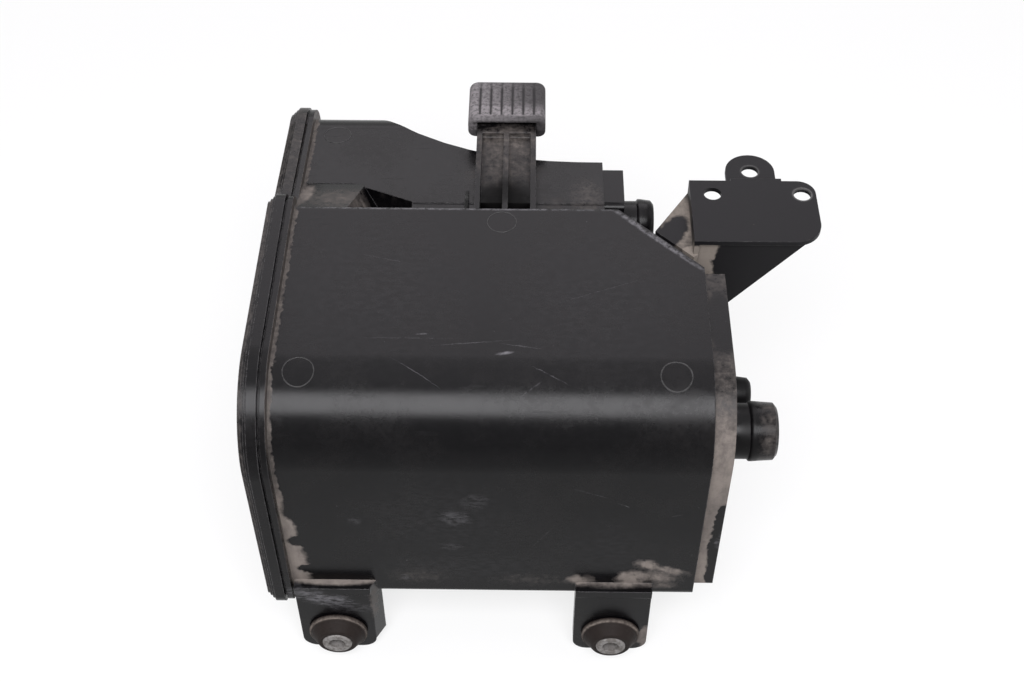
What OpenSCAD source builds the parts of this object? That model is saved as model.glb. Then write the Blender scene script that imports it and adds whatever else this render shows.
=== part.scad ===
// Two-chamber charcoal canister with rubber foot mounts, a cushioned tongue and a steel valve bracket.
// X runs along the body, Y runs from the front to the back and Z is up.
// The origin lies midway between the two foot bolt holes, on the front faces of their sleeves.

/* [Front chamber] */
// Length of the front chamber, from the lid flange to the end of the front panel
chamber_len = 160; // [145:1:180]
// Depth of the front chamber, front to back
chamber_depth = 108; // [98:1:120]
// Height of the front chamber
chamber_height = 109; // [98:1:122]
// Radius of the long rolled edge between the top and the front
roll_r = 30; // [22:1:36]
// Radius of the other long edges
edge_r = 3; // [2.8:0.1:5]
// Wall of both chambers
wall = 2.6; // [2:0.1:3]
// Size of the corner that is cut off behind the front ports
corner_cut = 33; // [29:1:36]
// Length of the stepped end beyond the front panel
step_len = 8; // [6:0.5:10]
// How far the stepped end stands in from the front panel
step_in = 3.4; // [2.4:0.2:4.2]

/* [Rear chamber] */
// Gap between the two chambers, bridged at the top
rear_gap = 11; // [9:0.5:14]
// Length of the rear chamber from the lid flange
rear_len = 124; // [112:1:130]
// Depth of the rear chamber at the lid
rear_depth = 64.5; // [60:0.5:72]
// Height of the rear chamber's front wall
rear_height = 80; // [72:1:88]
// Step down from the front chamber's top to the rear roof
rear_drop = 8; // [7:0.5:11]
// Fall of the rear roof towards the back, in degrees
roof_slope = 5; // [3:0.5:7]
// Radius of the rear chamber's upper back edge
rear_roll_r = 14; // [9:0.5:18]
// Length beside the lid over which the rear chamber keeps its full depth
taper_start = 25; // [20:1:32]
// Depth that the curved taper takes off the back
taper_in = 37; // [32:0.5:38]
// Bend of the taper: one is straight, and more draws in sooner
taper_bend = 2.6; // [1.4:0.1:3]
// How far the rear chamber stands back behind the saddle at the lid
saddle_back = 12; // [9:0.5:14]
// Length of the saddle that slopes from the top down to the rear roof
saddle_len = 22; // [18:1:24]
// Run of the saddle's side down into the wedge-shaped pocket
saddle_side = 12; // [8:0.5:14]
// Depth of the bridge between the chambers
bridge_h = 16; // [13:0.5:20]
// Step from the top down to the saddle
saddle_top = 1; // [0.6:0.1:2]
// Step from the rear roof down to the bridge
bridge_step = 0.5; // [0.4:0.1:1.6]
// Depth of the wedge-shaped pocket between the saddle and the rear roof
pocket_depth = 13; // [9:0.5:14]
// Distance from the lid at which the pocket ends
pocket_end = 48; // [44:1:56]

/* [Lid] */
// Overhang of the lid round the chambers
lid_out = 5; // [4.6:0.1:6]
// Overhang of the moulded flange under the lid
flange_out = 4.2; // [3.6:0.1:4.4]
// Thickness of the moulded flange
flange_t = 2.2; // [2:0.1:4]
// Thickness of the lid at its rim
lid_t = 8; // [7.6:0.2:10]
// Number of fine steps round the lid's rim
lid_steps = 3; // [2:1:4]
// Height of each step
lid_step = 1; // [0.6:0.1:1.1]
// Width of each step
lid_step_w = 1.1; // [0.8:0.1:1.4]
// How far the weld bead stays in from the flange's edge
weld_in = 1.4; // [1:0.1:1.8]
// Thickness of the lid's skin
lid_skin = 3; // [2.4:0.1:3.6]
// Depth of the field in the lid's outer face
lid_field = 2.6; // [2:0.1:3]
// Width of the rim and of the ribs on the lid's outer face
lid_rib_w = 3; // [2.4:0.1:4]
// Height of the weld bead that joins the lid to the flange
weld_h = 0.8; // [0.5:0.1:1.2]
// Gap between the upright ribs on the lid
lid_rib_pitch = 27; // [22:1:34]

/* [Ports] */
// Radius of the vent port tube
vent_r = 10.6; // [10.4:0.1:12]
// Bore radius of the vent port
vent_bore_r = 9; // [7.5:0.1:9.2]
// Length of the vent port
vent_len = 19.5; // [18:0.5:26]
// Distance of the vent port from the front face
vent_y = 31; // [28:0.5:33]
// Depth of the vent port below the top face
vent_drop = 43; // [38:1:56]
// Depth of the purge port below the top face
purge_drop = 51; // [44:1:60]
// Radius of the purge port tube
purge_r = 6; // [5.8:0.1:6.6]
// Bore radius of the purge port
purge_bore_r = 4.2; // [3.2:0.1:4.4]
// Length of the purge port
purge_len = 13; // [11:0.5:18]
// Distance from the vent port to the purge port
port_pitch = 25; // [23.5:0.5:26]
// Radius of the tank port tube
tank_r = 9; // [8.8:0.1:10]
// Bore radius of the tank port
tank_bore_r = 7.2; // [6:0.1:7.6]
// Length of the tank port beyond its neck
tank_len = 13; // [11:0.5:18]
// Width of the block that carries the tank port
neck_w = 24; // [22.5:0.5:25]
// Length of the block
neck_len = 8.5; // [6:0.5:10]
// Depth of the block's top below the rear roof line at the front chamber
neck_drop = 5; // [4:0.5:7]
// Height of the block
neck_h = 33; // [31:1:40]
// Radius of the block's edges
neck_r = 3; // [1.5:0.5:4]
// Distance of the tank port behind the rear chamber's front wall
tank_y = 14.5; // [13.5:0.5:15]
// Depth of the tank port below the rear roof line at the front chamber
tank_drop = 25; // [22:0.5:32]
// Height of the hose barbs
barb_h = 0.8; // [0.6:0.1:1.4]
// Start of each barb, as a share of its spigot's length
barb_share = 0.45; // [0.3:0.05:0.5]
// Length of the barbs' flat tops
barb_flat = 1.2; // [0.8:0.1:1.8]
// Chamfer round the mouths of the spigots
mouth_cut = 1.2; // [0.8:0.1:1.4]

/* [Feet] */
// Distance between the two foot bolt holes
foot_pitch = 110.5; // [104:0.5:118]
// Distance of the left bolt hole from the lid flange
foot_x = 18; // [17.4:0.1:22]
// Depth of the bolt holes below the front chamber
foot_drop = 23; // [20:0.5:28]
// Width of the foot plates
foot_w = 30; // [28:0.5:31]
// Thickness of the foot plates
foot_t = 6; // [5:0.2:8]
// How far the foot plates stand out from the front face
foot_out = 3.6; // [3:0.2:5]
// Height of the ledge across the top of each foot
ledge_h = 4.2; // [2.4:0.2:5]
// How far the ledge stands out from the foot plate
ledge_out = 0.9; // [0.5:0.1:1.4]
// Height of the feet on the front panel above its lower edge
foot_up = 8.5; // [6:0.5:10]
// Radius of the lower corners of the foot plates
foot_r = 6; // [4:0.5:8]
// Thickness of the ribs behind the foot plates
foot_rib = 2; // [1.6:0.1:3]
// Foot plate below the bolt hole
foot_below = 12.4; // [12:0.2:15]
// Slope across the inner side of the left foot
foot_bevel = 3.5; // [2:0.5:5]

/* [Rubber mounts] */
// Bore radius of the steel sleeves, for an M6 bolt
sleeve_bore_r = 3.25; // [3.1:0.05:3.5]
// Outer radius of the steel sleeves
sleeve_r = 6; // [5.4:0.1:6.6]
// How far the sleeves stand out in front of the foot plates
sleeve_out = 7; // [6:0.2:9]
// How far the sleeves stand out behind the rubber
sleeve_proud = 0.4; // [0.2:0.1:0.8]
// Chamfer on the outer edges of the sleeves
sleeve_cut = 0.6; // [0.3:0.1:1]
// Waist radius of the rubber mounts
grommet_waist_r = 8; // [7.6:0.1:8.6]
// Radius of the front flange of the rubber mounts
grommet_r = 11.8; // [11:0.1:12]
// Rubber showing round the sleeve at the front
grommet_nose = 1.4; // [1:0.1:1.8]
// Thickness of the front flange's rim
grommet_rim = 1.8; // [1.4:0.1:2.4]
// Height of the shoulder inside that rim
grommet_shoulder = 1.2; // [0.8:0.1:1.6]
// Width of the rim round the shoulder
grommet_ledge = 1; // [0.6:0.1:1.4]
// How far the rubber stays behind the sleeve's front face
sleeve_bare = 0.6; // [0.4:0.1:1]
// Thickness of the rubber behind the foot plate
grommet_back = 3; // [2.4:0.2:4]
// Clearance between rubber, sleeve and foot plate
rubber_gap = 0.1; // [0.05:0.05:0.2]

/* [Tongue] */
// Distance of the tongue's middle from the lid flange
tongue_x = 84.3; // [80:0.5:90]
// Width of the tongue
tongue_w = 24.4; // [22:0.2:26]
// Length of the tongue behind the front chamber
tongue_len = 75.8; // [70:0.2:82]
// Depth of the tongue's rib tops below the front chamber's top
tongue_drop = 3.4; // [2.4:0.2:4]
// Thickness of the tongue's tip
tongue_t = 4; // [3.6:0.1:4.6]
// Thickness of the tongue's ribs
tongue_rib = 2.2; // [1.8:0.1:2.6]
// Depth of the tongue's floors below the rib tops, at the crossbar
floor_drop = 2.6; // [2:0.1:3]
// Floor left under the two pockets beside the tongue's middle rib
bay_floor = 2; // [1.4:0.1:3]
// Gap between the tongue and the low brace beside it
brace_off = 2.4; // [2:0.1:4]
// Thickness of the brace
brace_t = 1.6; // [1.2:0.1:2]
// Length of the brace behind the bridge
brace_len = 12; // [9:0.5:16]
// Length of the crossbar before the cushion
crossbar_len = 4; // [3:0.5:6]

/* [Cushion] */
// Length of the rubber cushion
cushion_len = 26.8; // [24:0.2:30]
// Rubber at the sides of the tongue
cushion_side = 3.8; // [3.2:0.1:4.4]
// Rubber above and below the tongue
cushion_skin = 1.7; // [1.5:0.1:2.4]
// Rubber beyond the tongue's tip
cushion_tip = 2.3; // [2:0.1:3]
// Free height above the tongue in the cushion's slot
cushion_head = 1.8; // [1.2:0.1:2.2]
// Number of grooves across the cushion
groove_count = 6; // [4:1:7]
// Pitch of the grooves
groove_pitch = 4.5; // [3.8:0.1:4.6]
// Radius of the grooves
groove_r = 0.8; // [0.5:0.1:1]
// Plain lip before the grooves
lip_len = 3; // [2:0.5:5]
// Radius of the cushion's long edges
cushion_edge_r = 3.4; // [2:0.1:3.6]
// Radius of the cushion's nose, seen from the side
cushion_nose_r = 4; // [3:0.1:4.2]
// Corner radius of the cushion
cushion_r = 4; // [3:0.5:6]
// Clearance between the cushion and the tongue
cushion_gap = 0.1; // [0.05:0.05:0.3]

/* [Bracket] */
// Sheet thickness of the bracket
sheet = 2; // [1.6:0.1:2.4]
// Length of the bracket's shelf along X
shelf_len = 49.5; // [46:0.5:54]
// Depth of the shelf, front to back
shelf_depth = 34.5; // [32:0.5:38]
// Shelf's left edge behind the front panel's end
shelf_back_off = 2.7; // [1.5:0.1:4]
// Shelf's front edge behind the end of the stepped face
shelf_y_off = 14; // [13:0.5:18]
// Radius of the shelf's front corner
shelf_front_r = 10.5; // [8:0.5:13]
// Radius of the shelf's back corner
shelf_back_r = 7; // [5:0.5:9]
// Radius of the holes in the shelf and the ear
shelf_hole_r = 3.5; // [3.2:0.1:3.8]
// Distance between the two shelf holes
shelf_hole_pitch = 35.3; // [32:0.1:37]
// Distance of the left shelf hole from the shelf's left edge
shelf_hole_x = 8.8; // [7:0.2:9]
// Distance of the shelf holes from the back edge
shelf_hole_y = 7.7; // [6.4:0.1:9]
// Width of the ear
ear_w = 20; // [18:0.5:22]
// Distance of the ear's middle from the shelf's left edge
ear_x = 26.6; // [24:0.2:28]
// How far the ear's hole lies behind the shelf
ear_reach = 15.6; // [12:0.2:18]
// How far the ear lies below the shelf
ear_drop = 9; // [6:0.2:11]
// Swell of the bend behind the shelf, before the ear
bend_out = 1.4; // [1:0.1:1.8]
// How far the web lies below the shelf
web_drop = 7; // [5:0.2:9]
// Height of the gusset under the shelf
gusset_h = 40; // [34:1:46]
// Length of the gusset's lower edge beyond the shelf's left edge
gusset_foot = 13; // [10:0.5:16]
// Shelf overhang in front of the gusset
gusset_in = 1.5; // [1:0.1:3]
// Width of the bracket's flange
bracket_flange_w = 20; // [19.5:0.1:21]
// Distance of the flange's middle from the end of the front panel
flange_off = 14.5; // [14:0.1:15]

/* [Bracket screws] */
// Height of the bosses that carry the bracket
boss_h = 7; // [6:0.2:8]
// Radius of the bosses
boss_r = 5; // [4.4:0.1:5.6]
// Shank radius of the screws
screw_r = 2.5; // [2:0.1:2.8]
// Clearance round the screw shanks
screw_gap = 0.1; // [0.05:0.05:0.2]
// Depth of the upper screw below the top face
screw_drop = 16; // [15:0.5:18]
// Distance between the two screws
screw_pitch = 17; // [14:0.5:19]
// Shift of the screws along the cut corner, away from the gusset
screw_shift = 4.5; // [4:0.1:4.8]
// Thickness of the screw flanges
screw_flange_h = 1.2; // [1:0.1:1.6]
// Radius of the screw flanges
screw_flange_r = 5; // [4.4:0.1:5.4]
// Width of the screw heads across the flats
screw_af = 8; // [7:0.5:8.4]
// Height of the screw heads with their flanges
screw_head_h = 5; // [4:0.2:6]

/* [Inner stack] */
// Installed length of the springs behind the lid
spring_len = 13; // [11:0.5:16]
// Distance between the two springs of the front chamber
spring_spread = 44; // [36:1:50]
// Clearance of the springs to their pegs and seats
spring_gap = 0.5; // [0.3:0.1:0.8]
// Mean coil radius of the springs
spring_r = 10; // [8:0.5:11]
// Wire radius of the springs
spring_wire_r = 0.9; // [0.7:0.05:1]
// Turns of the springs
spring_turns = 4; // [3.5:0.5:4.5]
// Thickness of the perforated pressure plates
plate_t = 3; // [2.4:0.1:4]
// Hole radius in the pressure plates
plate_hole_r = 3; // [2:0.1:3.2]
// Pitch of the holes in the pressure plates
plate_pitch = 13; // [11:0.5:15]
// Thickness of the fleece pads
fleece_t = 3; // [2:0.2:5]
// Clearance of the charcoal, fleece and plates to the walls
fill_gap = 0.2; // [0.1:0.05:0.4]
// Depth of the ribs that keep the fleece off the closed ends
grid_h = 8; // [6:0.5:10]
// Thickness of the ribs on the closed ends
grid_t = 2; // [1.6:0.1:2.4]
// Height of the seats that centre the springs
seat_h = 2; // [1.4:0.1:2.4]
// Wall of the rings that hold the springs on the plates
seat_wall = 1.6; // [1.2:0.1:2]

/* [Hidden] */
$fn = 64;

// Overlap that lets cuts and joined solids pass each other's faces
over = 1;
// Rise of a barb's front edge along its spigot
barb_rise = 0.6;
// Share of a barb's height that is left at the spigot's mouth
barb_left = 0.35;
// Steps in the curve of the rear taper
taper_count = 9;
// Rise of the curved back edge above the roof, so that the two meet cleanly
arc_lift = 0.12;
// Sides of the spring wire and steps in a turn
wire_sides = 8;
turn_steps = 20;
// Turns that lie flat at each end of a spring
flat_turns = 0.5;
// Smallest radius left on an inner edge
least_r = 0.4;
// Larger than the part, for cutting planes
far = 400;

// Front chamber and its stepped end
end_x = chamber_len + step_len;
corner_y = chamber_depth - corner_cut;
cut_sum = chamber_len + corner_y;
purge_y = vent_y + port_pitch;

// Rear chamber
rear_y = chamber_depth + rear_gap;
back_y = rear_y + rear_depth;
rear_floor = -rear_drop - rear_height;
function roof_z(y) = -rear_drop - (y - chamber_depth) * tan(roof_slope);
// Front wall of the rear chamber beside the lid, behind the saddle
set_back_y = rear_y + saddle_back;
// Depth of the rear chamber where it lies behind the saddle
set_back_depth = rear_depth - saddle_back;

// Tank port axis, set from the rear chamber's front wall and the roof
tank_axis_y = rear_y + tank_y;
tank_axis_z = -rear_drop - tank_drop;

// Feet, in the order left and right
feet_x = [foot_x, foot_x + foot_pitch];
foot_z = -chamber_height - foot_drop;
foot_face = -foot_out;
foot_rear = foot_face + foot_t;
foot_top = -chamber_height + foot_up;

// Inner stack, measured from the flange face
lid_inner = lid_field + lid_skin - lid_t;
plate_x = lid_inner + spring_len;
lid_fleece_x = plate_x + plate_t;
bed_x = lid_fleece_x + fleece_t;
front_bed_end = chamber_len - wall - grid_h - fleece_t;
rear_bed_end = rear_len - wall - grid_h - fleece_t;
fill_in = wall + fill_gap;
front_spring_y = chamber_depth / 2;
front_spring_z = [(spring_spread - chamber_height) / 2, (-spring_spread - chamber_height) / 2];
rear_spring_y = set_back_y + set_back_depth / 2;
rear_spring_z = -rear_drop - rear_height / 2;

// Tongue and cushion
tongue_top = -tongue_drop;
tongue_end = chamber_depth + tongue_len;
cushion_y = tongue_end + cushion_tip + cushion_gap - cushion_len;
cushion_w = tongue_w + 2 * (cushion_side + cushion_gap);
cushion_top = tongue_top + cushion_head + cushion_skin;
cushion_h = tongue_t + cushion_head + cushion_gap + 2 * cushion_skin;

// Bracket
shelf_x = chamber_len - shelf_back_off;
shelf_y = corner_y + shelf_y_off;
shelf_back = shelf_y + shelf_depth;
gusset_y = shelf_y + gusset_in;
ear_y = shelf_back + ear_reach;
bend_y = shelf_back + bend_out;
// Point on the cut corner under the middle of the bracket's flange
flange_x = chamber_len - flange_off;
flange_y = cut_sum - flange_x;
// The screws lie a little further round the corner
screw_x = flange_x - screw_shift / sqrt(2);
screw_y = cut_sum - screw_x;
// Depth of the screw holes below the cut corner, and the space left before the screws' tips
screw_depth = wall / 2;
tip_gap = 0.6;

// Moves the part from the corner of the front chamber to its own origin
module in_frame() {
    translate([-foot_x - foot_pitch / 2, sleeve_out - foot_face, -foot_z]) children();
}

// Extrudes a Y-Z outline along X
module along_x(x0, x1) {
    translate([x0, 0, 0]) rotate([90, 0, 90]) linear_extrude(x1 - x0) children();
}

// Extrudes an X-Z outline along Y
module along_y(y0, y1) {
    translate([0, y1, 0]) rotate([90, 0, 0]) linear_extrude(y1 - y0) children();
}

// Extrudes an X-Y outline along Z
module along_z(z0, z1) {
    translate([0, 0, z0]) linear_extrude(z1 - z0) children();
}

// Takes a square corner down to a radius; du and dv point into the outline
module round_off(u, v, du, dv, r) {
    difference() {
        translate([du < 0 ? u - r : u - over, dv < 0 ? v - r : v - over]) square(r + over);
        translate([u + du * r, v + dv * r]) circle(r);
    }
}

// Outline of the front chamber, moved in by a distance
module front_outline(inset) {
    small_r = max(edge_r - inset, least_r);
    bottom = -chamber_height + inset;
    difference() {
        translate([inset, bottom]) square([chamber_depth - 2 * inset, chamber_height - 2 * inset]);
        round_off(inset, -inset, 1, -1, roll_r - inset);
        round_off(chamber_depth - inset, -inset, -1, -1, small_r);
        round_off(inset, bottom, 1, 1, small_r);
        round_off(chamber_depth - inset, bottom, -1, 1, small_r);
    }
}

// Plan that leaves off the corner behind the ports, moved in by a distance
module corner_plan(inset) {
    sum = cut_sum - inset * sqrt(2);
    polygon([[-far, -far], [far, -far], [far, sum - far], [sum - far, far], [-far, far]]);
}

module front_chamber(x0, x1, inset) {
    intersection() {
        along_x(x0, x1) front_outline(inset);
        along_z(-far, far) corner_plan(inset);
    }
}

// Stepped end in front of the cut corner, moved in by a distance
module stepped_end(x0, x1, inset) {
    along_x(x0, x1) intersection() {
        front_outline(step_in + inset);
        translate([0, -far]) square([corner_y - inset, 2 * far]);
    }
}

// Outline of the rear chamber with its sloping roof, moved in by a distance
module rear_outline(inset) {
    r = max(rear_roll_r - inset, least_r);
    y0 = rear_y + inset;
    y1 = back_y - inset;
    drop = inset / cos(roof_slope);
    arc_y = y1 - r;
    arc_z = roof_z(arc_y) - drop - r + arc_lift;
    floor_z = rear_floor + inset;
    polygon([
        [y0, floor_z], [y1, floor_z], [y1, arc_z], [arc_y, arc_z],
        [arc_y, roof_z(arc_y) - drop], [y0, roof_z(y0) - drop]
    ]);
    translate([arc_y, arc_z]) circle(r);
}

// Plan of the rear chamber, which stands back at the lid and narrows in a curve towards its port
module rear_plan(inset) {
    back = back_y - inset;
    front = rear_y + inset;
    // The slanting part of the front wall keeps its thickness to within a fifth
    polygon(concat(
        [[-far, front + saddle_back], [saddle_len, front + saddle_back], [pocket_end, front], [far, front],
         [far, back - taper_in]],
        [for (i = [taper_count : -1 : 0])
            let (t = i / taper_count, in = taper_in * (1 - pow(1 - t, taper_bend)))
                [taper_start + t * (rear_len - taper_start), back - in]],
        [[taper_start, far], [-far, far]]
    ));
}

module rear_chamber(x0, x1, inset) {
    intersection() {
        along_x(x0, x1) rear_outline(inset);
        along_z(-far, far) rear_plan(inset);
    }
}

// Strip that joins the two outlines at the lid
module join_outline(floor_z) {
    y0 = chamber_depth - over;
    y1 = rear_y + over;
    polygon([
        [y0, floor_z], [y1, floor_z],
        [y1, roof_z(y1) - bridge_step], [y0, roof_z(y0) - bridge_step]
    ]);
}

// Common outline of the flange and the lid, moved out by a distance
module rim_outline(out) {
    front_outline(-out);
    rear_outline(-out);
    join_outline(rear_floor);
}

// Hose spigot along X with a barb near its end; it starts one overlap inside its wall
module spigot(r, len) {
    barb_at = len * barb_share;
    top_at = barb_at + barb_rise;
    rotate([0, 90, 0]) rotate_extrude() polygon([
        [0, -over], [r, -over], [r, barb_at], [r + barb_h, top_at], [r + barb_h, top_at + barb_flat],
        [r + barb_h * barb_left, len - mouth_cut], [r - mouth_cut, len], [0, len]
    ]);
}

// Round bore along X
module bore_x(x0, x1, r) {
    translate([x0, 0, 0]) rotate([0, 90, 0]) cylinder(r = r, h = x1 - x0);
}

module at_vent() {
    translate([0, vent_y, -vent_drop]) children();
}

module at_purge() {
    translate([0, purge_y, -purge_drop]) children();
}

module at_tank() {
    translate([0, tank_axis_y, tank_axis_z]) children();
}

// Block on the rear chamber's end that carries the tank port
module tank_block() {
    top = -rear_drop - neck_drop;
    y0 = tank_axis_y - neck_w / 2;
    along_x(rear_len - wall, rear_len + neck_len) difference() {
        translate([y0, top - neck_h]) square([neck_w, neck_h]);
        round_off(y0, top, 1, -1, neck_r);
        round_off(y0 + neck_w, top, -1, -1, neck_r);
        round_off(y0, top - neck_h, 1, 1, neck_r);
        round_off(y0 + neck_w, top - neck_h, -1, 1, neck_r);
    }
}

// Places a child on the cut corner at each screw, with Z pointing outward
module at_screws() {
    for (i = [0, 1])
        translate([screw_x, screw_y, -screw_drop - i * screw_pitch]) rotate([0, 90, 45]) children();
}

// Foot plate with rounded lower corners and a ledge across its top
module foot(x, bevel) {
    bottom = foot_z - foot_below;
    rib_in = foot_w / 2 - foot_rib;
    along_y(foot_face, foot_rear) difference() {
        translate([x - foot_w / 2, bottom]) square([foot_w, foot_top - bottom]);
        round_off(x - foot_w / 2, bottom, 1, 1, foot_r);
        round_off(x + foot_w / 2, bottom, -1, 1, foot_r);
    }
    along_x(x - foot_w / 2, x + foot_w / 2) translate([foot_face - ledge_out, foot_top - ledge_h])
        square([ledge_out + foot_out + over, ledge_h]);
    // Bevelled side that widens the foot towards the panel
    along_z(bottom + foot_r, foot_top) polygon([
        [x + foot_w / 2 - over, foot_face], [x + foot_w / 2, foot_face],
        [x + foot_w / 2 + bevel, foot_rear], [x + foot_w / 2 - over, foot_rear]
    ]);
    // Two ribs that brace the plate against the chamber's underside
    for (side = [-1, 1])
        along_x(x + side * rib_in - foot_rib / 2, x + side * rib_in + foot_rib / 2) polygon([
            [foot_rear - over, -chamber_height + over], [foot_rear + foot_drop, -chamber_height + over],
            [foot_rear + foot_drop, -chamber_height - over], [foot_rear, foot_z - foot_below / 2],
            [foot_rear - over, foot_z - foot_below / 2]
        ]);
}

// Tongue with three ribs, a crossbar and sloping floors between the ribs
module tongue() {
    x0 = tongue_x - tongue_w / 2;
    floor_y = rear_y;
    floor_low = roof_z(floor_y) - over;
    floor_high = tongue_top - floor_drop;
    bar_y = cushion_y - crossbar_len;
    // Ribs from the front chamber's back wall to the crossbar
    for (i = [0, 1, 2])
        along_x(x0 + i * (tongue_w - tongue_rib) / 2, x0 + i * (tongue_w - tongue_rib) / 2 + tongue_rib)
            polygon([
                [chamber_depth - over, tongue_top], [bar_y + over, tongue_top],
                [bar_y + over, tongue_top - tongue_t], [rear_y + over, roof_z(rear_y) - over],
                [chamber_depth - over, roof_z(chamber_depth) - over]
            ]);
    // Floor that rises from the rear roof to the crossbar
    along_x(x0, x0 + tongue_w) polygon([
        [floor_y, floor_low], [bar_y + over, floor_high],
        [bar_y + over, tongue_top - tongue_t], [floor_y, floor_low - tongue_t / 2]
    ]);
    // Crossbar and tip
    along_x(x0, x0 + tongue_w) translate([bar_y, tongue_top - tongue_t])
        square([tongue_end - bar_y, tongue_t]);
}

// Bridge between the chambers, with the two pockets under the tongue
module bridge() {
    x0 = tongue_x - tongue_w / 2;
    bay = (tongue_w - 3 * tongue_rib) / 2;
    deep = roof_z(rear_y) - bridge_h;
    difference() {
        union() {
            along_x(pocket_end - over, rear_len) join_outline(deep);
            // Floor of the wedge-shaped pocket
            along_z(deep, roof_z(rear_y) - pocket_depth)
                translate([0, chamber_depth - over])
                    square([pocket_end, set_back_y - chamber_depth + 2 * over]);
            saddle();
            tongue_brace();
        }
        for (i = [0, 1])
            translate([x0 + tongue_rib + i * (bay + tongue_rib), chamber_depth, deep + bay_floor])
                cube([bay, rear_gap, bridge_h + rear_drop]);
    }
}

// Saddle at the lid: it slopes from the top to the rear roof, and its side falls into the pocket
module saddle() {
    floor_z = roof_z(rear_y) - pocket_depth - over;
    y1 = set_back_y + over;
    intersection() {
        along_x(0, saddle_len + saddle_side) polygon([
            [chamber_depth - over, floor_z], [y1, floor_z],
            [y1, roof_z(y1) - bridge_step], [chamber_depth - over, -saddle_top]
        ]);
        along_y(chamber_depth - over, y1) polygon([
            [0, floor_z], [saddle_len + saddle_side, floor_z], [saddle_len, 0], [0, 0]
        ]);
    }
}

// Low brace on the roof beside the tongue
module tongue_brace() {
    x1 = tongue_x - tongue_w / 2 - brace_off;
    y1 = rear_y + brace_len;
    along_x(x1 - brace_t, x1) polygon([
        [chamber_depth - over, roof_z(chamber_depth) - over], [y1, roof_z(y1) - over],
        [chamber_depth - over, -tongue_drop]
    ]);
}

// Ribs that hold the fleece off the two closed ends
module end_grid() {
    between = (vent_y + vent_bore_r + purge_y - purge_bore_r) / 2;
    intersection() {
        union() {
            front_chamber(front_bed_end + fleece_t, chamber_len - wall + over, wall - over);
            stepped_end(chamber_len - wall, end_x - wall + over, wall - over);
        }
        for (y = [vent_y - vent_r - grid_t, between - grid_t / 2, purge_y + purge_r])
            translate([0, y, -far]) cube([far, grid_t, 2 * far]);
    }
    intersection() {
        rear_chamber(rear_bed_end + fleece_t, rear_len - wall + over, wall - over);
        for (i = [1, 2])
            translate([0, 0, tank_axis_z - tank_bore_r - i * (rear_height - tank_drop - tank_bore_r) / 3])
                cube([far, far, grid_t]);
    }
}

module housing() {
    color("#2b2b2d") in_frame() {
        difference() {
            union() {
                front_chamber(0, chamber_len, 0);
                stepped_end(chamber_len - wall, end_x, 0);
                rear_chamber(0, rear_len, 0);
                bridge();
                along_x(0, flange_t) rim_outline(flange_out);
                foot(feet_x[0], foot_bevel);
                foot(feet_x[1], 0);
                tongue();
                translate([end_x, 0, 0]) at_vent() spigot(vent_r, vent_len);
                translate([end_x, 0, 0]) at_purge() spigot(purge_r, purge_len);
                translate([rear_len + neck_len, 0, 0]) at_tank() spigot(tank_r, tank_len);
                tank_block();
                at_screws() translate([0, 0, -over]) cylinder(r = boss_r, h = boss_h + over);
            }
            front_chamber(-over, chamber_len - wall, wall);
            stepped_end(chamber_len - wall - over, end_x - wall, wall);
            rear_chamber(-over, rear_len - wall, wall);
            at_vent() bore_x(end_x - wall - over, end_x + vent_len + over, vent_bore_r);
            at_purge() bore_x(end_x - wall - over, end_x + purge_len + over, purge_bore_r);
            at_tank() bore_x(rear_len - wall - over, rear_len + neck_len + tank_len + over, tank_bore_r);
            for (x = feet_x)
                translate([x, foot_rear + over, foot_z]) rotate([90, 0, 0])
                    cylinder(r = grommet_waist_r, h = foot_t + 2 * over);
            at_screws() translate([0, 0, -screw_depth])
                cylinder(r = screw_r + screw_gap, h = boss_h + screw_depth + over);
        }
        end_grid();
    }
}

// Lid: stepped rim, ribbed outer field and an inner recess that joins the two chambers
module end_lid() {
    duct_h = rear_height / 3;
    color("#262628") in_frame() difference() {
        union() {
            along_x(-weld_h - over, 0) rim_outline(flange_out - weld_in);
            for (i = [0 : lid_steps])
                along_x(-lid_t + i * lid_step_w, -weld_h) rim_outline(lid_out - (lid_steps - i) * lid_step);
        }
        along_x(-lid_t - over, lid_field - lid_t) lid_fields();
        along_x(lid_inner, over) {
            front_outline(wall);
            rear_outline(wall);
            translate([chamber_depth - wall - over, rear_floor + duct_h])
                square([rear_gap + 2 * (wall + over), duct_h]);
        }
    }
    color("#262628") in_frame() spring_pegs();
}

// Fields between the rim and the ribs of the lid's outer face
module lid_fields() {
    half = lid_rib_w / 2;
    difference() {
        union() {
            front_outline(lid_rib_w);
            rear_outline(lid_rib_w);
        }
        for (y = [lid_rib_pitch : lid_rib_pitch : back_y])
            translate([y - half, -far]) square([lid_rib_w, 2 * far]);
        for (z = [1 : 2])
            translate([0, -z * chamber_height / 3 - half]) square([far, lid_rib_w]);
    }
}

// Pegs on the lid that centre the springs
module spring_pegs() {
    peg_r = spring_r - spring_wire_r - spring_gap;
    at_springs() rotate([0, 90, 0]) cylinder(r = peg_r, h = seat_h);
}

// Places a child at the lid end of each spring
module at_springs() {
    for (z = front_spring_z) translate([lid_inner, front_spring_y, z]) children();
    translate([lid_inner, rear_spring_y, rear_spring_z]) children();
}

module front_charcoal_bed() {
    color("#141414") in_frame() front_chamber(bed_x, front_bed_end, fill_in);
}

module rear_charcoal_bed() {
    color("#141414") in_frame() rear_chamber(bed_x, rear_bed_end, fill_in);
}

module front_port_fleece() {
    color("#d8d6cf") in_frame() front_chamber(front_bed_end, front_bed_end + fleece_t, fill_in);
}

module front_lid_fleece() {
    color("#d8d6cf") in_frame() front_chamber(lid_fleece_x, bed_x, fill_in);
}

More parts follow.
